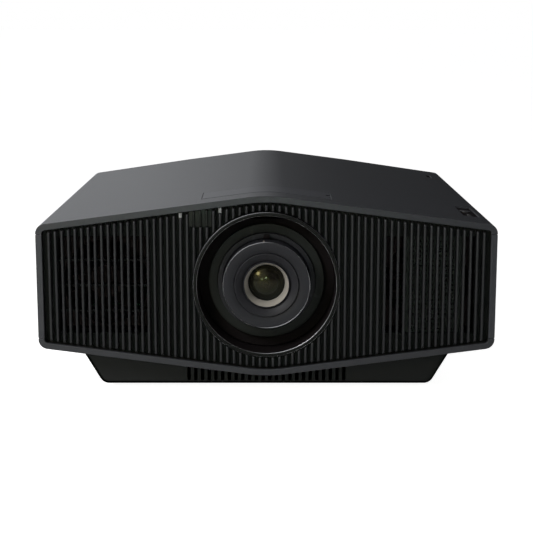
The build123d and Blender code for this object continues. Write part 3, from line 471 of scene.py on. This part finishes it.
def make_materials():
    return {
        "case_plastic": moulded_plastic("case_plastic", (0.0228, 0.0236, 0.029), 0.34, specular=0.45),
        "base_plastic": moulded_plastic("base_plastic", (0.0095, 0.0103, 0.0106), 0.55, specular=0.22),
        "grille_plastic": moulded_plastic("grille_plastic", (0.0155, 0.016, 0.018), 0.4, specular=0.3),
        "plate_plastic": moulded_plastic("plate_plastic", (0.012, 0.0126, 0.0122), 0.6, specular=0.15),
        "bezel_plastic": moulded_plastic("bezel_plastic", (0.0052, 0.0058, 0.0056), 0.45, depth=0.00001,
                                         edge_highlight=1.2, specular=0.12),
        "dark_plastic": moulded_plastic("dark_plastic", (0.01, 0.01, 0.011), 0.5, specular=0.3),
        # Near-black for recess walls and for parts deep in the casing: partly the own colour of black
        # plastic, partly painted shade where light-coloured parts sit in the dark.
        "black_and_shade_plastic": moulded_plastic("black_and_shade_plastic", (0.0054, 0.0044, 0.0047), 0.7, specular=0.03),
        "vent_plastic": moulded_plastic("vent_plastic", (0.026, 0.017, 0.019), 0.7, specular=0.05),
        "key_plastic": moulded_plastic("key_plastic", (0.02, 0.02, 0.022), 0.35, depth=0.00001, edge_highlight=2.5),
        "lens_black": turned_metal("lens_black", (0.0145, 0.0145, 0.018), 0.5, specular=0.2),
        "lens_ring": turned_metal("lens_ring", (0.0085, 0.0098, 0.009), 0.5, specular=0.2),
        "lens_edge": turned_metal("lens_edge", (0.32, 0.32, 0.33), 0.25, metallic=1.0),
        "lens_trim": turned_metal("lens_trim", (0.18, 0.167, 0.15), 0.5, specular=0.08),
        "lens_glass": coated_glass("lens_glass", (0.8, 0.82, 0.84), 214.0),
        "front_glass": deep_glass("front_glass", (0.0075, 0.0065, 0.006), 256.0, 0.2),
        "smoked_window": smoked_plastic("smoked_window", (0.0055, 0.0068, 0.0056), 0.3, 0.2),
        "light_pipe": smoked_plastic("light_pipe", (0.17, 0.175, 0.18), 0.35, 0.5),
        "shield_metal": moulded_plastic("shield_metal", (0.03, 0.033, 0.03), 0.5, specular=0.3),
        "steel": brushed_metal("steel", (0.5, 0.5, 0.51), 0.35),
        "die_cast": cast_metal("die_cast", (0.3, 0.3, 0.31), 0.5),
        "screw_steel": brushed_metal("screw_steel", (0.08, 0.08, 0.085), 0.35),
        "board_green": circuit_board("board_green"),
        "rubber": rubber("rubber", (0.012, 0.012, 0.012)),
        "phosphor": moulded_plastic("phosphor", (0.6, 0.52, 0.08), 0.6),
        "floor": pale_floor("floor"),
    }


# ---------------------------------------------------------------- mesh helpers

def piece(name, mesh, material, body="casing", replaced=()):
    """Puts a finished mesh in the scene as a piece of the object."""
    obj = bpy.data.objects.new(name, mesh)
    bpy.context.scene.collection.objects.link(obj)
    mesh.materials.clear()
    mesh.materials.append(materials[material])
    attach(obj, body)
    if replaced:
        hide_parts(*replaced)
    return obj


def mesh_from(name, points, faces, smooth_angle=35.0):
    """Mesh from points in millimetres, smooth where faces meet at less than the angle."""
    mesh = bpy.data.meshes.new(name)
    mesh.from_pydata([tuple(c * MM for c in p) for p in points], [], faces)
    mesh.validate()
    smooth(mesh, smooth_angle)
    return mesh


def smooth(mesh, angle):
    """Joins doubled points, turns a closed mesh's faces outwards and shades it smooth up to the angle."""
    work = bmesh.new()
    work.from_mesh(mesh)
    bmesh.ops.remove_doubles(work, verts=work.verts, dist=0.001 * MM)
    if all(edge.is_manifold for edge in work.edges):
        bmesh.ops.recalc_face_normals(work, faces=work.faces)
    work.to_mesh(mesh)
    work.free()
    for polygon in mesh.polygons:
        polygon.use_smooth = True
    mesh.set_sharp_from_angle(angle=math.radians(angle))


def round_edges(obj, width, segments=3, angle=40.0):
    """Rounds the sharp edges of a piece by a width in millimetres."""
    modifier = obj.modifiers.new("round", "BEVEL")
    modifier.width = width * MM
    modifier.segments = segments
    modifier.limit_method = "ANGLE"
    modifier.angle_limit = math.radians(angle)
    modifier.harden_normals = True


def thicken(obj, thickness):
    modifier = obj.modifiers.new("wall", "SOLIDIFY")
    modifier.thickness = thickness * MM
    modifier.offset = -1.0
    modifier.use_even_offset = True


def rounded_path(corners, radii, steps):
    """Open path through (x, z) corners, each turned into an arc; gives (point, outward normal) pairs."""
    path = []
    for index, corner in enumerate(corners):
        here = Vector(corner)
        if index == 0:
            path.append((here, outward(here, Vector(corners[1]))))
            continue
        if index == len(corners) - 1:
            path.append((here, outward(Vector(corners[-2]), here)))
            continue
        before, after = Vector(corners[index - 1]), Vector(corners[index + 1])
        first, last = outward(before, here), outward(here, after)
        turn = first.angle(last)
        run = radii[index] * math.tan(turn / 2)
        centre = here + (before - here).normalized() * run - first * radii[index]
        for step in range(steps + 1):
            normal = first.slerp(last, step / steps)
            path.append((centre + normal * radii[index], normal))
    return path


def outward(start, end):
    """Normal on the left of the way from start to end, which is outside on a clockwise outline."""
    way = (end - start).normalized()
    return Vector((-way.y, way.x))


def above(path, limit):
    """The part of a path over the height limit, ending on it exactly."""
    result = []
    for (start, first), (end, last) in zip(path, path[1:]):
        if start.y >= limit:
            result.append((start, first))
        if (start.y - limit) * (end.y - limit) < 0:
            share = (limit - start.y) / (end.y - start.y)
            result.append((start.lerp(end, share), first.slerp(last, share)))
    if path[-1][0].y >= limit:
        result.append(path[-1])
    return result


def with_stops(path, stops):
    """The same path with a point added at each x in stops, on its straight stretches."""
    result = [path[0]]
    for (start, first), (end, last) in zip(path, path[1:]):
        low, high = sorted((start.x, end.x))
        inside = sorted((x for x in stops if low < x < high), reverse=start.x > end.x)
        for x in inside:
            share = (x - start.x) / (end.x - start.x)
            result.append((start.lerp(end, share), first.slerp(last, share)))
        result.append((end, last))
    return result


def rear_edge(x):
    """Depth of the casing's rear edge, which is swept forward on both sides."""
    share = (abs(x) - REAR_FLAT_HALF) / (HALF_WIDTH - REAR_FLAT_HALF)
    return REAR_Y - REAR_SWEEP * max(share, 0.0)


def sheet_mesh(name, path, profile, holes=()):
    """Sheet swept along a path of (point, normal) over a profile of (inset, y).

    Each hole is (x0, x1, y0, y1).
    """
    points = []
    for place, normal in path:
        for inset, y in profile:
            spot = place - normal * inset
            points.append((spot.x, min(y, rear_edge(spot.x)), spot.y))
    width = len(profile)
    faces = []
    for row in range(len(path) - 1):
        for column in range(width - 1):
            middle_x = (path[row][0].x + path[row + 1][0].x) / 2
            middle_y = (profile[column][1] + profile[column + 1][1]) / 2
            if any(x0 < middle_x < x1 and y0 < middle_y < y1 for x0, x1, y0, y1 in holes):
                continue
            corner = row * width + column
            faces.append((corner, corner + width, corner + width + 1, corner + 1))
    return mesh_from(name, points, faces)


def lathe_mesh(name, profile, axis_x=0.0, axis_z=LENS_Z, ribs=None, steps=ROUND_STEPS):
    """Closed (radius, y) profile turned round an axis along Y. ribs is (first, last, count, height)."""
    points = []
    for step in range(steps):
        angle = 2 * math.pi * step / steps
        for index, (radius, y) in enumerate(profile):
            if ribs and ribs[0] <= index <= ribs[1]:
                radius += ribs[3] * (0.5 + 0.5 * math.cos(angle * ribs[2]))
            points.append((axis_x + radius * math.sin(angle), y, axis_z + radius * math.cos(angle)))
    count = len(profile)
    faces = []
    for step in range(steps):
        here = step * count
        following = (step + 1) % steps * count
        for index in range(count):
            ahead = (index + 1) % count
            faces.append((here + index, here + ahead, following + ahead, following + index))
    return mesh_from(name, points, faces, 30.0)


def dome_mesh(name, radius, front, sag, rear, steps=ROUND_STEPS, rings=14):
    """Lens element: a spherical front with that sag, a cylindrical edge and a flat back."""
    sphere = (radius ** 2 + sag ** 2) / (2 * abs(sag))
    profile = []
    for ring in range(rings + 1):
        r = radius * ring / rings
        drop = sphere - math.sqrt(sphere ** 2 - r ** 2)
        profile.append((r, front + math.copysign(drop, sag)))
    profile.append((radius, rear))
    points = [(0.0, profile[0][1], LENS_Z)]
    for step in range(steps):
        angle = 2 * math.pi * step / steps
        points += [(r * math.sin(angle), y, LENS_Z + r * math.cos(angle)) for r, y in profile[1:]]
    count = len(profile) - 1
    faces = []
    for step in range(steps):
        following = (step + 1) % steps
        faces.append((0, 1 + step * count, 1 + following * count))
        for index in range(count - 1):
            low, high = 1 + step * count + index, 1 + following * count + index
            faces.append((low, low + 1, high + 1, high))
    faces.append(tuple(1 + step * count + count - 1 for step in range(steps)))
    return mesh_from(name, points, faces, 50.0)


def plate_mesh(name, outer, holes, front, rear, rounding=0.0):
    """Flat plate with holes, from closed (x, z) loops, between y = front and y = rear."""
    curve = bpy.data.curves.new(name, "CURVE")
    curve.dimensions = "2D"
    curve.fill_mode = "BOTH"
    curve.extrude = ((rear - front) / 2 - rounding) * MM
    curve.bevel_depth = rounding * MM
    curve.bevel_resolution = 2
    curve.offset = -rounding * MM
    for loop in [outer, *holes]:
        spline = curve.splines.new("POLY")
        spline.points.add(len(loop) - 1)
        for point, (x, z) in zip(spline.points, loop):
            point.co = (x * MM, z * MM, 0.0, 1.0)
        spline.use_cyclic_u = True
    holder = bpy.data.objects.new(name, curve)
    bpy.context.scene.collection.objects.link(holder)
    bpy.context.view_layer.update()
    mesh = bpy.data.meshes.new_from_object(holder)
    bpy.data.objects.remove(holder)
    upright = Matrix.Translation((0.0, (front + rear) / 2 * MM, 0.0)) @ Matrix.Rotation(math.pi / 2, 4, "X")
    mesh.transform(upright)
    mesh.name = name
    smooth(mesh, 35.0)
    return mesh


def circle_loop(radius, x=0.0, z=LENS_Z, steps=ROUND_STEPS):
    return [(x + radius * math.sin(2 * math.pi * s / steps), z + radius * math.cos(2 * math.pi * s / steps))
            for s in range(steps)]


def box_loop(x0, x1, z0, z1):
    return [(x0, z0), (x1, z0), (x1, z1), (x0, z1)]


# ---------------------------------------------------------------- casing

def casing_corners():
    """Outline corners, clockwise seen from the front, from the left shoulder round to the left hip."""
    return {
        "left": (-HALF_WIDTH, SHOULDER_Z),
        "ridge": (0.0, RIDGE_Z),
        "right": (HALF_WIDTH, SHOULDER_Z),
        "right_hip": (HALF_WIDTH, HIP_Z),
        "keel": (0.0, KEEL_Z),
        "left_hip": (-HALF_WIDTH, HIP_Z),
    }


def cover_profile(lengthwise=()):
    """Section of a cover: lip, front corner, wall. lengthwise adds rows of points along the wall."""
    return [(BAND, FRONT_Y), (0.0, FRONT_Y), *[(0.0, y) for y in lengthwise], (0.0, REAR_Y)]


def finish_cover(obj):
    thicken(obj, WALL)
    round_edges(obj, 0.7)


def make_casing():
    corner = casing_corners()
    roof = [(-HALF_WIDTH, LENS_Z), corner["left"], corner["ridge"], corner["right"], (HALF_WIDTH, LENS_Z)]
    roof_path = rounded_path(roof, [0, CORNER_RADIUS, RIDGE_RADIUS, CORNER_RADIUS, 0], 12)
    roof_path = above(roof_path, UPPER_SEAM_Z + HALF_SEAM)
    panel_x = (PANEL_X - PANEL_HALF, PANEL_X + PANEL_HALF)
    stops = (-LID_HALF, LID_HALF, *panel_x, *MARK_X, -REAR_FLAT_HALF, REAR_FLAT_HALF)
    roof_path = with_stops(roof_path, stops)
    lid_y = (LID_Y[0] - LID_FRONT_SEAM, LID_Y[1])
    rows = sorted([*lid_y, *PANEL_Y, *MARK_Y])
    holes = [(-LID_HALF, LID_HALF, *lid_y), (*panel_x, *PANEL_Y), (*MARK_X, *MARK_Y)]
    mesh = sheet_mesh("top_shell", roof_path, cover_profile(rows), holes)
    finish_cover(piece("top_shell", mesh, "case_plastic", replaced=["top_cover"]))

    keel = [(HALF_WIDTH, LOWER_SEAM_Z - HALF_SEAM), corner["right_hip"], corner["keel"], corner["left_hip"],
            (-HALF_WIDTH, LOWER_SEAM_Z - HALF_SEAM)]
    keel_path = rounded_path(keel, [0, CORNER_RADIUS, RIDGE_RADIUS, CORNER_RADIUS, 0], 12)
    keel_path = with_stops(keel_path, (REAR_FLAT_HALF, -REAR_FLAT_HALF))
    mesh = sheet_mesh("bottom_shell", keel_path, cover_profile())
    finish_cover(piece("bottom_shell", mesh, "case_plastic", replaced=["bottom_cover"]))

    side_z = (LOWER_SEAM_Z + HALF_SEAM, UPPER_SEAM_Z - HALF_SEAM)
    left = rounded_path([(-HALF_WIDTH, side_z[0]), (-HALF_WIDTH, side_z[1])], [0, 0], 1)
    right = rounded_path([(HALF_WIDTH, side_z[1]), (HALF_WIDTH, side_z[0])], [0, 0], 1)
    sides = (("left_shell", left, "left_side_cover"), ("right_shell", right, "right_side_cover"))
    for name, path, node in sides:
        mesh = sheet_mesh(name, path, cover_profile())
        finish_cover(piece(name, mesh, "case_plastic", replaced=[node]))


# ---------------------------------------------------------------- grille

def roof_z(x, inset):
    return RIDGE_Z - inset * math.hypot(1, ROOF_SLOPE) - ROOF_SLOPE * abs(x)


def ridge_cap(x, z, inset):
    """Lowers the roof line near the ridge, where it is rounded."""
    radius = RIDGE_RADIUS - inset
    reach = radius * math.sin(ROOF_ANGLE)
    if abs(x) >= reach:
        return z
    centre = roof_z(0, inset) - radius / math.cos(ROOF_ANGLE)
    return centre + math.sqrt(radius ** 2 - x ** 2)


def grille_top(x, inset):
    return ridge_cap(x, roof_z(x, inset), inset)


def grille_bottom(x, inset):
    angle = math.atan(KEEL_SLOPE)
    radius = RIDGE_RADIUS - inset
    line = KEEL_Z + inset * math.hypot(1, KEEL_SLOPE) + KEEL_SLOPE * abs(x)
    if abs(x) >= radius * math.sin(angle):
        return line
    centre = KEEL_Z + inset * math.hypot(1, KEEL_SLOPE) + radius / math.cos(angle)
    return centre - math.sqrt(radius ** 2 - x ** 2)


def louvre_section():
    """(dx, y) section of one louvre, with a rounded nose."""
    nose = 1.15
    nose_steps = 4
    section = [(-LOUVRE_HALF, PLATE_Y[0])]
    for step in range(nose_steps + 1):
        angle = math.pi / 2 * step / nose_steps
        dx = -LOUVRE_HALF + nose * (1 - math.cos(angle))
        section.append((dx, LOUVRE_FRONT_Y + nose * (1 - math.sin(angle))))
    return section + [(-dx, y) for dx, y in reversed(section)]


def under_roof(x):
    """Height where the louvre at x ends: below the band, the window or a light pipe."""
    if WINDOW_X[0] < x < WINDOW_X[1]:
        return WINDOW_Z - LOUVRE_CAP_GAP
    for index in PIPE_LOUVRES:
        if abs(x - index * LOUVRE_PITCH) < LOUVRE_HALF:
            return pipe_box(index)[2] - LOUVRE_CAP_GAP
    return grille_top(x, BAND) - LOUVRE_TOP_GAP


def louvre_stretches(x):
    """Each stretch of the louvre at x as (low, high), both with a height for its left and its right side."""
    sides = (x - LOUVRE_HALF, x + LOUVRE_HALF)
    foot = [grille_bottom(side, BAND) + LOUVRE_FOOT_GAP for side in sides]
    top = [grille_top(side, BAND) - LOUVRE_TOP_GAP for side in sides]
    if under_roof(x) < grille_top(x, BAND) - LOUVRE_TOP_GAP:
        top = [under_roof(x)] * 2
    clear_radius = BEZEL_HOLE + 0.3
    if abs(x) + LOUVRE_HALF >= clear_radius:
        return [(foot, top)]
    reach = [math.sqrt(clear_radius ** 2 - side ** 2) for side in sides]
    return [(foot, [LENS_Z - r for r in reach]), ([LENS_Z + r for r in reach], top)]


def add_louvre(points, faces, x, low, high):
    """One bar whose front is rounded off towards both of its ends."""
    section = louvre_section()
    size = len(section)
    start = len(points)
    end_run = 2.2
    end_steps = 4
    levels = []
    for step in range(end_steps + 1):
        angle = math.pi / 2 * step / end_steps
        levels.append((end_run * (1 - math.cos(angle)), 1 - math.sin(angle)))
    rings = [(low, lift, back) for lift, back in levels]
    rings += [(high, -lift, back) for lift, back in reversed(levels)]
    for limit, lift, back in rings:
        for dx, y in section:
            share = (dx + LOUVRE_HALF) / (2 * LOUVRE_HALF)
            z = limit[0] + (limit[1] - limit[0]) * share + lift
            points.append((x + dx, y + back * min(end_run, PLATE_Y[0] - y), z))
    for ring in range(len(rings) - 1):
        for step in range(size):
            ahead = (step + 1) % size
            base = start + ring * size
            faces.append((base + step, base + ahead, base + size + ahead, base + size + step))
    faces.append(tuple(start + step for step in reversed(range(size))))
    faces.append(tuple(start + (len(rings) - 1) * size + step for step in range(size)))


def make_louvres():
    points, faces = [], []
    shortest = 5.0
    for index in range(-LOUVRE_SIDE_COUNT, LOUVRE_SIDE_COUNT + 1):
        x = index * LOUVRE_PITCH
        for low, high in louvre_stretches(x):
            if min(high) - max(low) > shortest:
                add_louvre(points, faces, x, low, high)
    mesh = mesh_from("grille_louvres", points, faces, 50.0)
    piece("grille_louvres", mesh, "grille_plastic", replaced=["front_grille"])


def grille_outline(inset):
    """Closed (x, z) loop of the casing's outline, moved inwards."""
    corner = casing_corners()
    start = (-HALF_WIDTH, (SHOULDER_Z + HIP_Z) / 2)
    ring = [start, corner["left"], corner["ridge"], corner["right"], corner["right_hip"], corner["keel"],
            corner["left_hip"], start]
    radii = [0, CORNER_RADIUS, RIDGE_RADIUS, CORNER_RADIUS, CORNER_RADIUS, RIDGE_RADIUS, CORNER_RADIUS, 0]
    path = rounded_path(ring, radii, 8)
    return [tuple(place - normal * inset) for place, normal in path[:-1]]


def pipe_box(index):
    """(x0, x1, z0, z1) of the light pipe that takes the top of that louvre."""
    x = index * LOUVRE_PITCH
    clearance = 0.3
    top = roof_z(x, BAND + clearance) - clearance
    return (x - PIPE_HALF, x + PIPE_HALF, top - PIPE_HEIGHT, top)


def make_grille_plate():
    lens_hole = circle_loop(BEZEL_HOLE)
    vents = [box_loop(*VENT_X, *VENT_Z), box_loop(-VENT_X[1], -VENT_X[0], *VENT_Z)]
    mesh = plate_mesh("grille_plate", grille_outline(WALL), [lens_hole, *vents], *PLATE_Y)
    piece("grille_plate", mesh, "plate_plastic")
    inner = grille_outline(BAND - 0.4)
    rim = plate_mesh("grille_rim", grille_outline(WALL), [inner], RIM_FRONT_Y, PLATE_Y[0])
    piece("grille_rim", rim, "plate_plastic")


def make_roof_mark():
    """Dark floor of the shallow slot near the roof's rear right corner."""
    half = 2.7
    thickness = 0.4
    mesh = plate_mesh("roof_mark", box_loop(-half, half, -thickness, 0.0), [], *MARK_Y)
    x = sum(MARK_X) / 2
    tilt = Matrix.Rotation(ROOF_ANGLE, 4, "Y")
    mesh.transform(Matrix.Translation((x * MM, 0.0, roof_z(x, MARK_DEPTH) * MM)) @ tilt)
    piece("roof_mark", mesh, "black_and_shade_plastic")


def make_window():
    """Infra-red window with ribs that carry the louvres on across it."""
    left, right = WINDOW_X
    inset = BAND + LOUVRE_CAP_GAP
    loop = [(left, WINDOW_Z), (right, WINDOW_Z)]
    loop += [(side, grille_top(side, inset)) for side in (right, left)]
    pane_front = LOUVRE_FRONT_Y + 1.6
    mesh = plate_mesh("window_pane", loop, [], pane_front, PLATE_Y[0], rounding=0.35)
    piece("window_pane", mesh, "smoked_window", replaced=["ir_window"])
    points, faces = [], []
    foot = WINDOW_Z + 0.2
    for index in range(-LOUVRE_SIDE_COUNT, 0):
        x = index * LOUVRE_PITCH
        sides = (x - LOUVRE_HALF, x + LOUVRE_HALF)
        if left < sides[0] and sides[1] < right:
            top = [grille_top(side, inset) - LOUVRE_CAP_GAP for side in sides]
            add_louvre(points, faces, x, [foot] * 2, top)
    ribs = mesh_from("window_ribs", points, faces, 50.0)
    piece("window_ribs", ribs, "smoked_window")


def make_light_pipes():
    for index, side in zip(PIPE_LOUVRES, ("left", "right")):
        name = side + "_light_pipe"
        mesh = plate_mesh(name, box_loop(*pipe_box(index)), [], LOUVRE_FRONT_Y, PLATE_Y[0], rounding=0.5)
        piece(name, mesh, "light_pipe", replaced=["indicator_light_pipes"])


# ---------------------------------------------------------------- lens
# Each profile is a closed list of (radius, y) round the lens axis.

def arc(centre_radius, centre_y, size, start, end, steps=4):
    """Points of a rounded edge in a lathe profile, from one angle to another in degrees."""
    points = []
    for step in range(steps + 1):
        angle = math.radians(start + (end - start) * step / steps)
        points.append((centre_radius + size * math.cos(angle), centre_y + size * math.sin(angle)))
    return points


def edge_line(name, radius, front, body="casing"):
    """Fine sharp-crested ring that marks a polished edge."""
    width = EDGE_LINE_WIDTH
    profile = [(radius - width, front + width), (radius, front), (radius + width, front + width),
               (radius, front + 2 * width)]
    piece(name, lathe_mesh(name, profile, steps=2 * ROUND_STEPS), "lens_edge", body)


def make_bezel():
    """Raised rim round the lens opening, and the dark well inside it."""
    inner, outer = WELL_RADIUS, BEZEL_HOLE - 0.3
    rear = PLATE_Y[1]
    rim = [(inner, -233.4), *arc(71.0, -234.9, 0.6, 180, 270), *arc(72.7, -234.9, 0.6, -90, 0)]
    rim += [(outer, -233.2), (outer, rear), (70.9, rear), (inner, -224.0)]
    mesh = lathe_mesh("bezel_rim", rim)
    piece("bezel_rim", mesh, "bezel_plastic", replaced=["lens_bezel"])
    well = [(inner, -233.4), (inner, -224.0), (70.9, rear), (78.9, rear), (78.9, -219.0), (73.0, -219.0),
            (73.0, -206.5), (69.6, -206.5), (69.9, -233.0)]
    piece("bezel_well", lathe_mesh("bezel_well", well), "black_and_shade_plastic")
    edge_line("bezel_outer_edge", 73.5, -235.2)
    edge_line("bezel_inner_edge", inner, -235.1)


def make_barrel():
    """Barrel with its flat face, and the dark shroud that shuts the well off behind the face."""
    body = "horizontal_carriage"
    face = [*arc(50.3, -209.4, 0.6, 180, 270), *arc(58.2, -209.3, 0.7, -90, 0), (58.9, FACE_REAR_Y),
            (FACE_BORE, FACE_REAR_Y)]
    piece("barrel_face", lathe_mesh("barrel_face", face), "lens_ring", body)
    outer = [(x, min(z, SHROUD_TOP)) for x, z in circle_loop(SHROUD_RADIUS)]
    shroud = plate_mesh("barrel_shroud", outer, [circle_loop(SHROUD_BORE)], -205.2, -204.2)
    piece("barrel_shroud", shroud, "black_and_shade_plastic", body)
    flange = [(FACE_BORE, FACE_REAR_Y), (63.0, FACE_REAR_Y), (63.0, -199.0), (52.0, -199.0)]
    tube = [(52.0, -167.0), (46.0, -167.0), (46.0, -85.0), (42.0, -85.0), (42.0, -167.0)]
    spout = [(33.3, -167.0), (33.3, -222.0), (36.25, -222.0), (36.25, -172.0), (FACE_BORE, -172.0)]
    mesh = lathe_mesh("barrel_body", flange + tube + spout)
    piece("barrel_body", mesh, "black_and_shade_plastic", body, ["lens_barrel"])


def make_focus_ring():
    """Ring with a shallow conical face, ribs that fade out forwards, a polished edge and an index pin."""
    face = [*arc(33.1, -232.9, 0.4, 180, 260, 3), (42.4, -234.9), (43.2, -234.7), (43.4, -231.4)]
    grip = [(RING_RADIUS, -231.0), (RING_RADIUS, -212.0)]
    skirt = [(43.9, -211.0), (43.9, -178.0), (36.3, -178.0), (36.3, -224.0), (32.7, -224.0)]
    knurl = (len(face) + 1, len(face) + 2, 64, 0.4)
    mesh = lathe_mesh("focus_ring_body", face + grip + skirt, ribs=knurl, steps=512)
    piece("focus_ring_body", mesh, "lens_black", "focus_ring", ["focus_ring"])
    edge_line("focus_ring_edge", RING_RADIUS + 0.05, -235.3, "focus_ring")
    section = [(0.0, -232.6), (0.6, -232.4), (0.9, -231.8), (0.9, -230.6), (0.0, -230.4)]
    pin = lathe_mesh("focus_index", section, -2.7, LENS_Z + 43.9, steps=24)
    piece("focus_index", pin, "lens_trim", "focus_ring")


def make_front_cell():
    """Shallow conical mouth, the pale cone inside it, and the domed front glass with the seat behind it."""
    rim = [(22.4, -233.0), (22.6, -233.5), (22.9, -233.5), (23.3, -232.6), (23.9, -231.0)]
    mouth = [(24.9, -231.9), (25.5, -232.5), (31.3, -234.8), *arc(31.7, -234.3, 0.6, -100, 0)]
    skirt = [(32.3, -221.5), (33.2, -221.5), (33.2, -185.0), (30.0, -185.0), (30.0, -205.5)]
    seat = [(21.5, -205.5), (21.5, GLASS_SEAT_Y), (22.9, GLASS_SEAT_Y), (22.9, -232.0)]
    mesh = lathe_mesh("front_cell_body", rim + mouth + skirt + seat)
    piece("front_cell_body", mesh, "lens_black", "front_cell", ["front_cell"])
    cone = [(18.6, CONE_FOOT_Y), (18.6, -220.9), (22.3, -232.9), (22.7, -232.7), (22.7, CONE_FOOT_Y)]
    mesh = lathe_mesh("cone_ring", cone)
    piece("cone_ring", mesh, "lens_trim", "front_cell", ["retaining_ring"])
    mesh = dome_mesh("front_element", 18.5, -225.1, 4.6, GLASS_SEAT_Y)
    piece("front_element", mesh, "front_glass", "front_cell", ["front_glass"])


def make_zoom_ring():
    """Plain ring with a small lever on top."""
    profile = [*arc(45.2, -214.0, 0.5, 180, 270), *arc(49.0, -214.0, 0.5, -90, 0)]
    profile += [(49.5, -174.0), (44.7, -174.0)]
    mesh = lathe_mesh("zoom_ring_body", profile)
    piece("zoom_ring_body", mesh, "lens_black", "zoom_ring", ["zoom_ring"])
    foot, head = LENS_Z + 45.2, LENS_Z + 48.6
    loop = [(-3.2, foot), (3.2, foot), (2.8, head), (-2.8, head)]
    lever = plate_mesh("zoom_lever", loop, [], -220.5, -213.8, rounding=0.5)
    piece("zoom_lever", lever, "black_and_shade_plastic", "zoom_ring")


# ---------------------------------------------------------------- plinth

def plinth_loop(inset):
    """Right half of the plinth's rounded section, from inside the casing to the middle of its floor."""
    low_z = PLINTH_FLOOR + inset
    low = PLINTH_HALF + PLINTH_FLARE * inset - inset * math.hypot(1, PLINTH_FLARE)
    meeting_x = 191.0
    top_z = low_z + (meeting_x - inset - low) / PLINTH_FLARE
    corners = [(meeting_x - inset, top_z), (low, low_z), (0.0, low_z)]
    return rounded_path(corners, [0, PLINTH_RADIUS - inset, 0], 8)


def make_plinth():
    path = plinth_loop(0.0)
    mirrored = [(Vector((-p.x, p.y)), Vector((-n.x, n.y))) for p, n in reversed(path[:-1])]
    rows = [(0.0, -PLINTH_Y), (0.0, PLINTH_Y)]
    mesh = sheet_mesh("plinth_tray", path + mirrored, rows)
    tray = piece("plinth_tray", mesh, "base_plastic", replaced=["base_plinth"])
    thicken(tray, WALL)
    round_edges(tray, 0.6)
    ends = (("plinth_front", -PLINTH_Y, slot_loops()), ("plinth_rear", PLINTH_Y - WALL, []))
    for name, front, slots in ends:
        mesh = plate_mesh(name, plinth_face(), slots, front, front + WALL, rounding=0.3)
        piece(name, mesh, "base_plastic")


def plinth_face():
    """Outline of the plinth's end wall, whose top follows the casing's keel."""
    gap = 0.2
    side = [tuple(place) for place, _ in plinth_loop(0.3)]
    left = [(-x, z) for x, z in reversed(side[:-1])]
    keel_x = (-185.0, -21.0, -10.0, 0.0, 10.0, 21.0, 185.0)
    keel = [(x, KEEL_Z - gap + KEEL_SLOPE * abs(x)) for x in keel_x]
    rounded = [(x, max(z, grille_bottom(x, 0.0) - gap)) for x, z in keel]
    return side + left + rounded


def slot_loops():
    loops = []
    for index in range(SLOT_COUNT):
        x = (index - (SLOT_COUNT - 1) / 2) * SLOT_PITCH
        top = grille_bottom(x, 0.0) - SLOT_TOP_GAP
        loops.append(box_loop(x - SLOT_WIDTH / 2, x + SLOT_WIDTH / 2, PLINTH_FLOOR + WALL, top))
    return loops


def make_shade_sheets():
    """Dark sheet behind the slots of the rear panel, painted shade that shuts out the light seen through the
    casing.
    """
    for side, x in SHADE_SHEET_LEFT:
        name = side + "_shade_sheet"
        mesh = plate_mesh(name, box_loop(x, x + SHADE_SHEET_WIDTH, *SHADE_SHEET_Z), [], *SHADE_SHEET_Y)
        piece(name, mesh, "black_and_shade_plastic")


# ---------------------------------------------------------------- CAD nodes that stay

def dress_cad_nodes():
    """Gives each CAD node that stays the material of its slot; the parts in recesses and deep in the casing
    then get near-black plastic as painted shade, and the fans a dull maroon plastic.
    """
    for part in frame["record"]["subparts"]:
        node = nodes[part["node"]]
        node.data.materials.clear()
        node.data.materials.append(materials[part["material_slot"]])
    # Painted shade: these parts sit in recesses and deep in the casing, so they get near-black plastic in
    # place of their own finish.
    painted_shade_parts = ("lens_shift_base", "vertical_carriage", "horizontal_carriage", "control_panel")
    for name in painted_shade_parts:
        nodes[name].data.materials[0] = materials["black_and_shade_plastic"]
    for name in ("left_fan_frame", "right_fan_frame", "left_fan_rotor", "right_fan_rotor"):
        nodes[name].data.materials[0] = materials["vent_plastic"]


def main():
    add_camera()
    add_studio()
    add_floor(materials["floor"])
    dress_cad_nodes()
    make_casing()
    make_louvres()
    make_grille_plate()
    make_window()
    make_light_pipes()
    make_roof_mark()
    make_bezel()
    make_barrel()
    make_focus_ring()
    make_front_cell()
    make_zoom_ring()
    make_plinth()
    make_shade_sheets()


bpy.context.scene.view_settings.view_transform = "Standard"
materials = make_materials()
main()
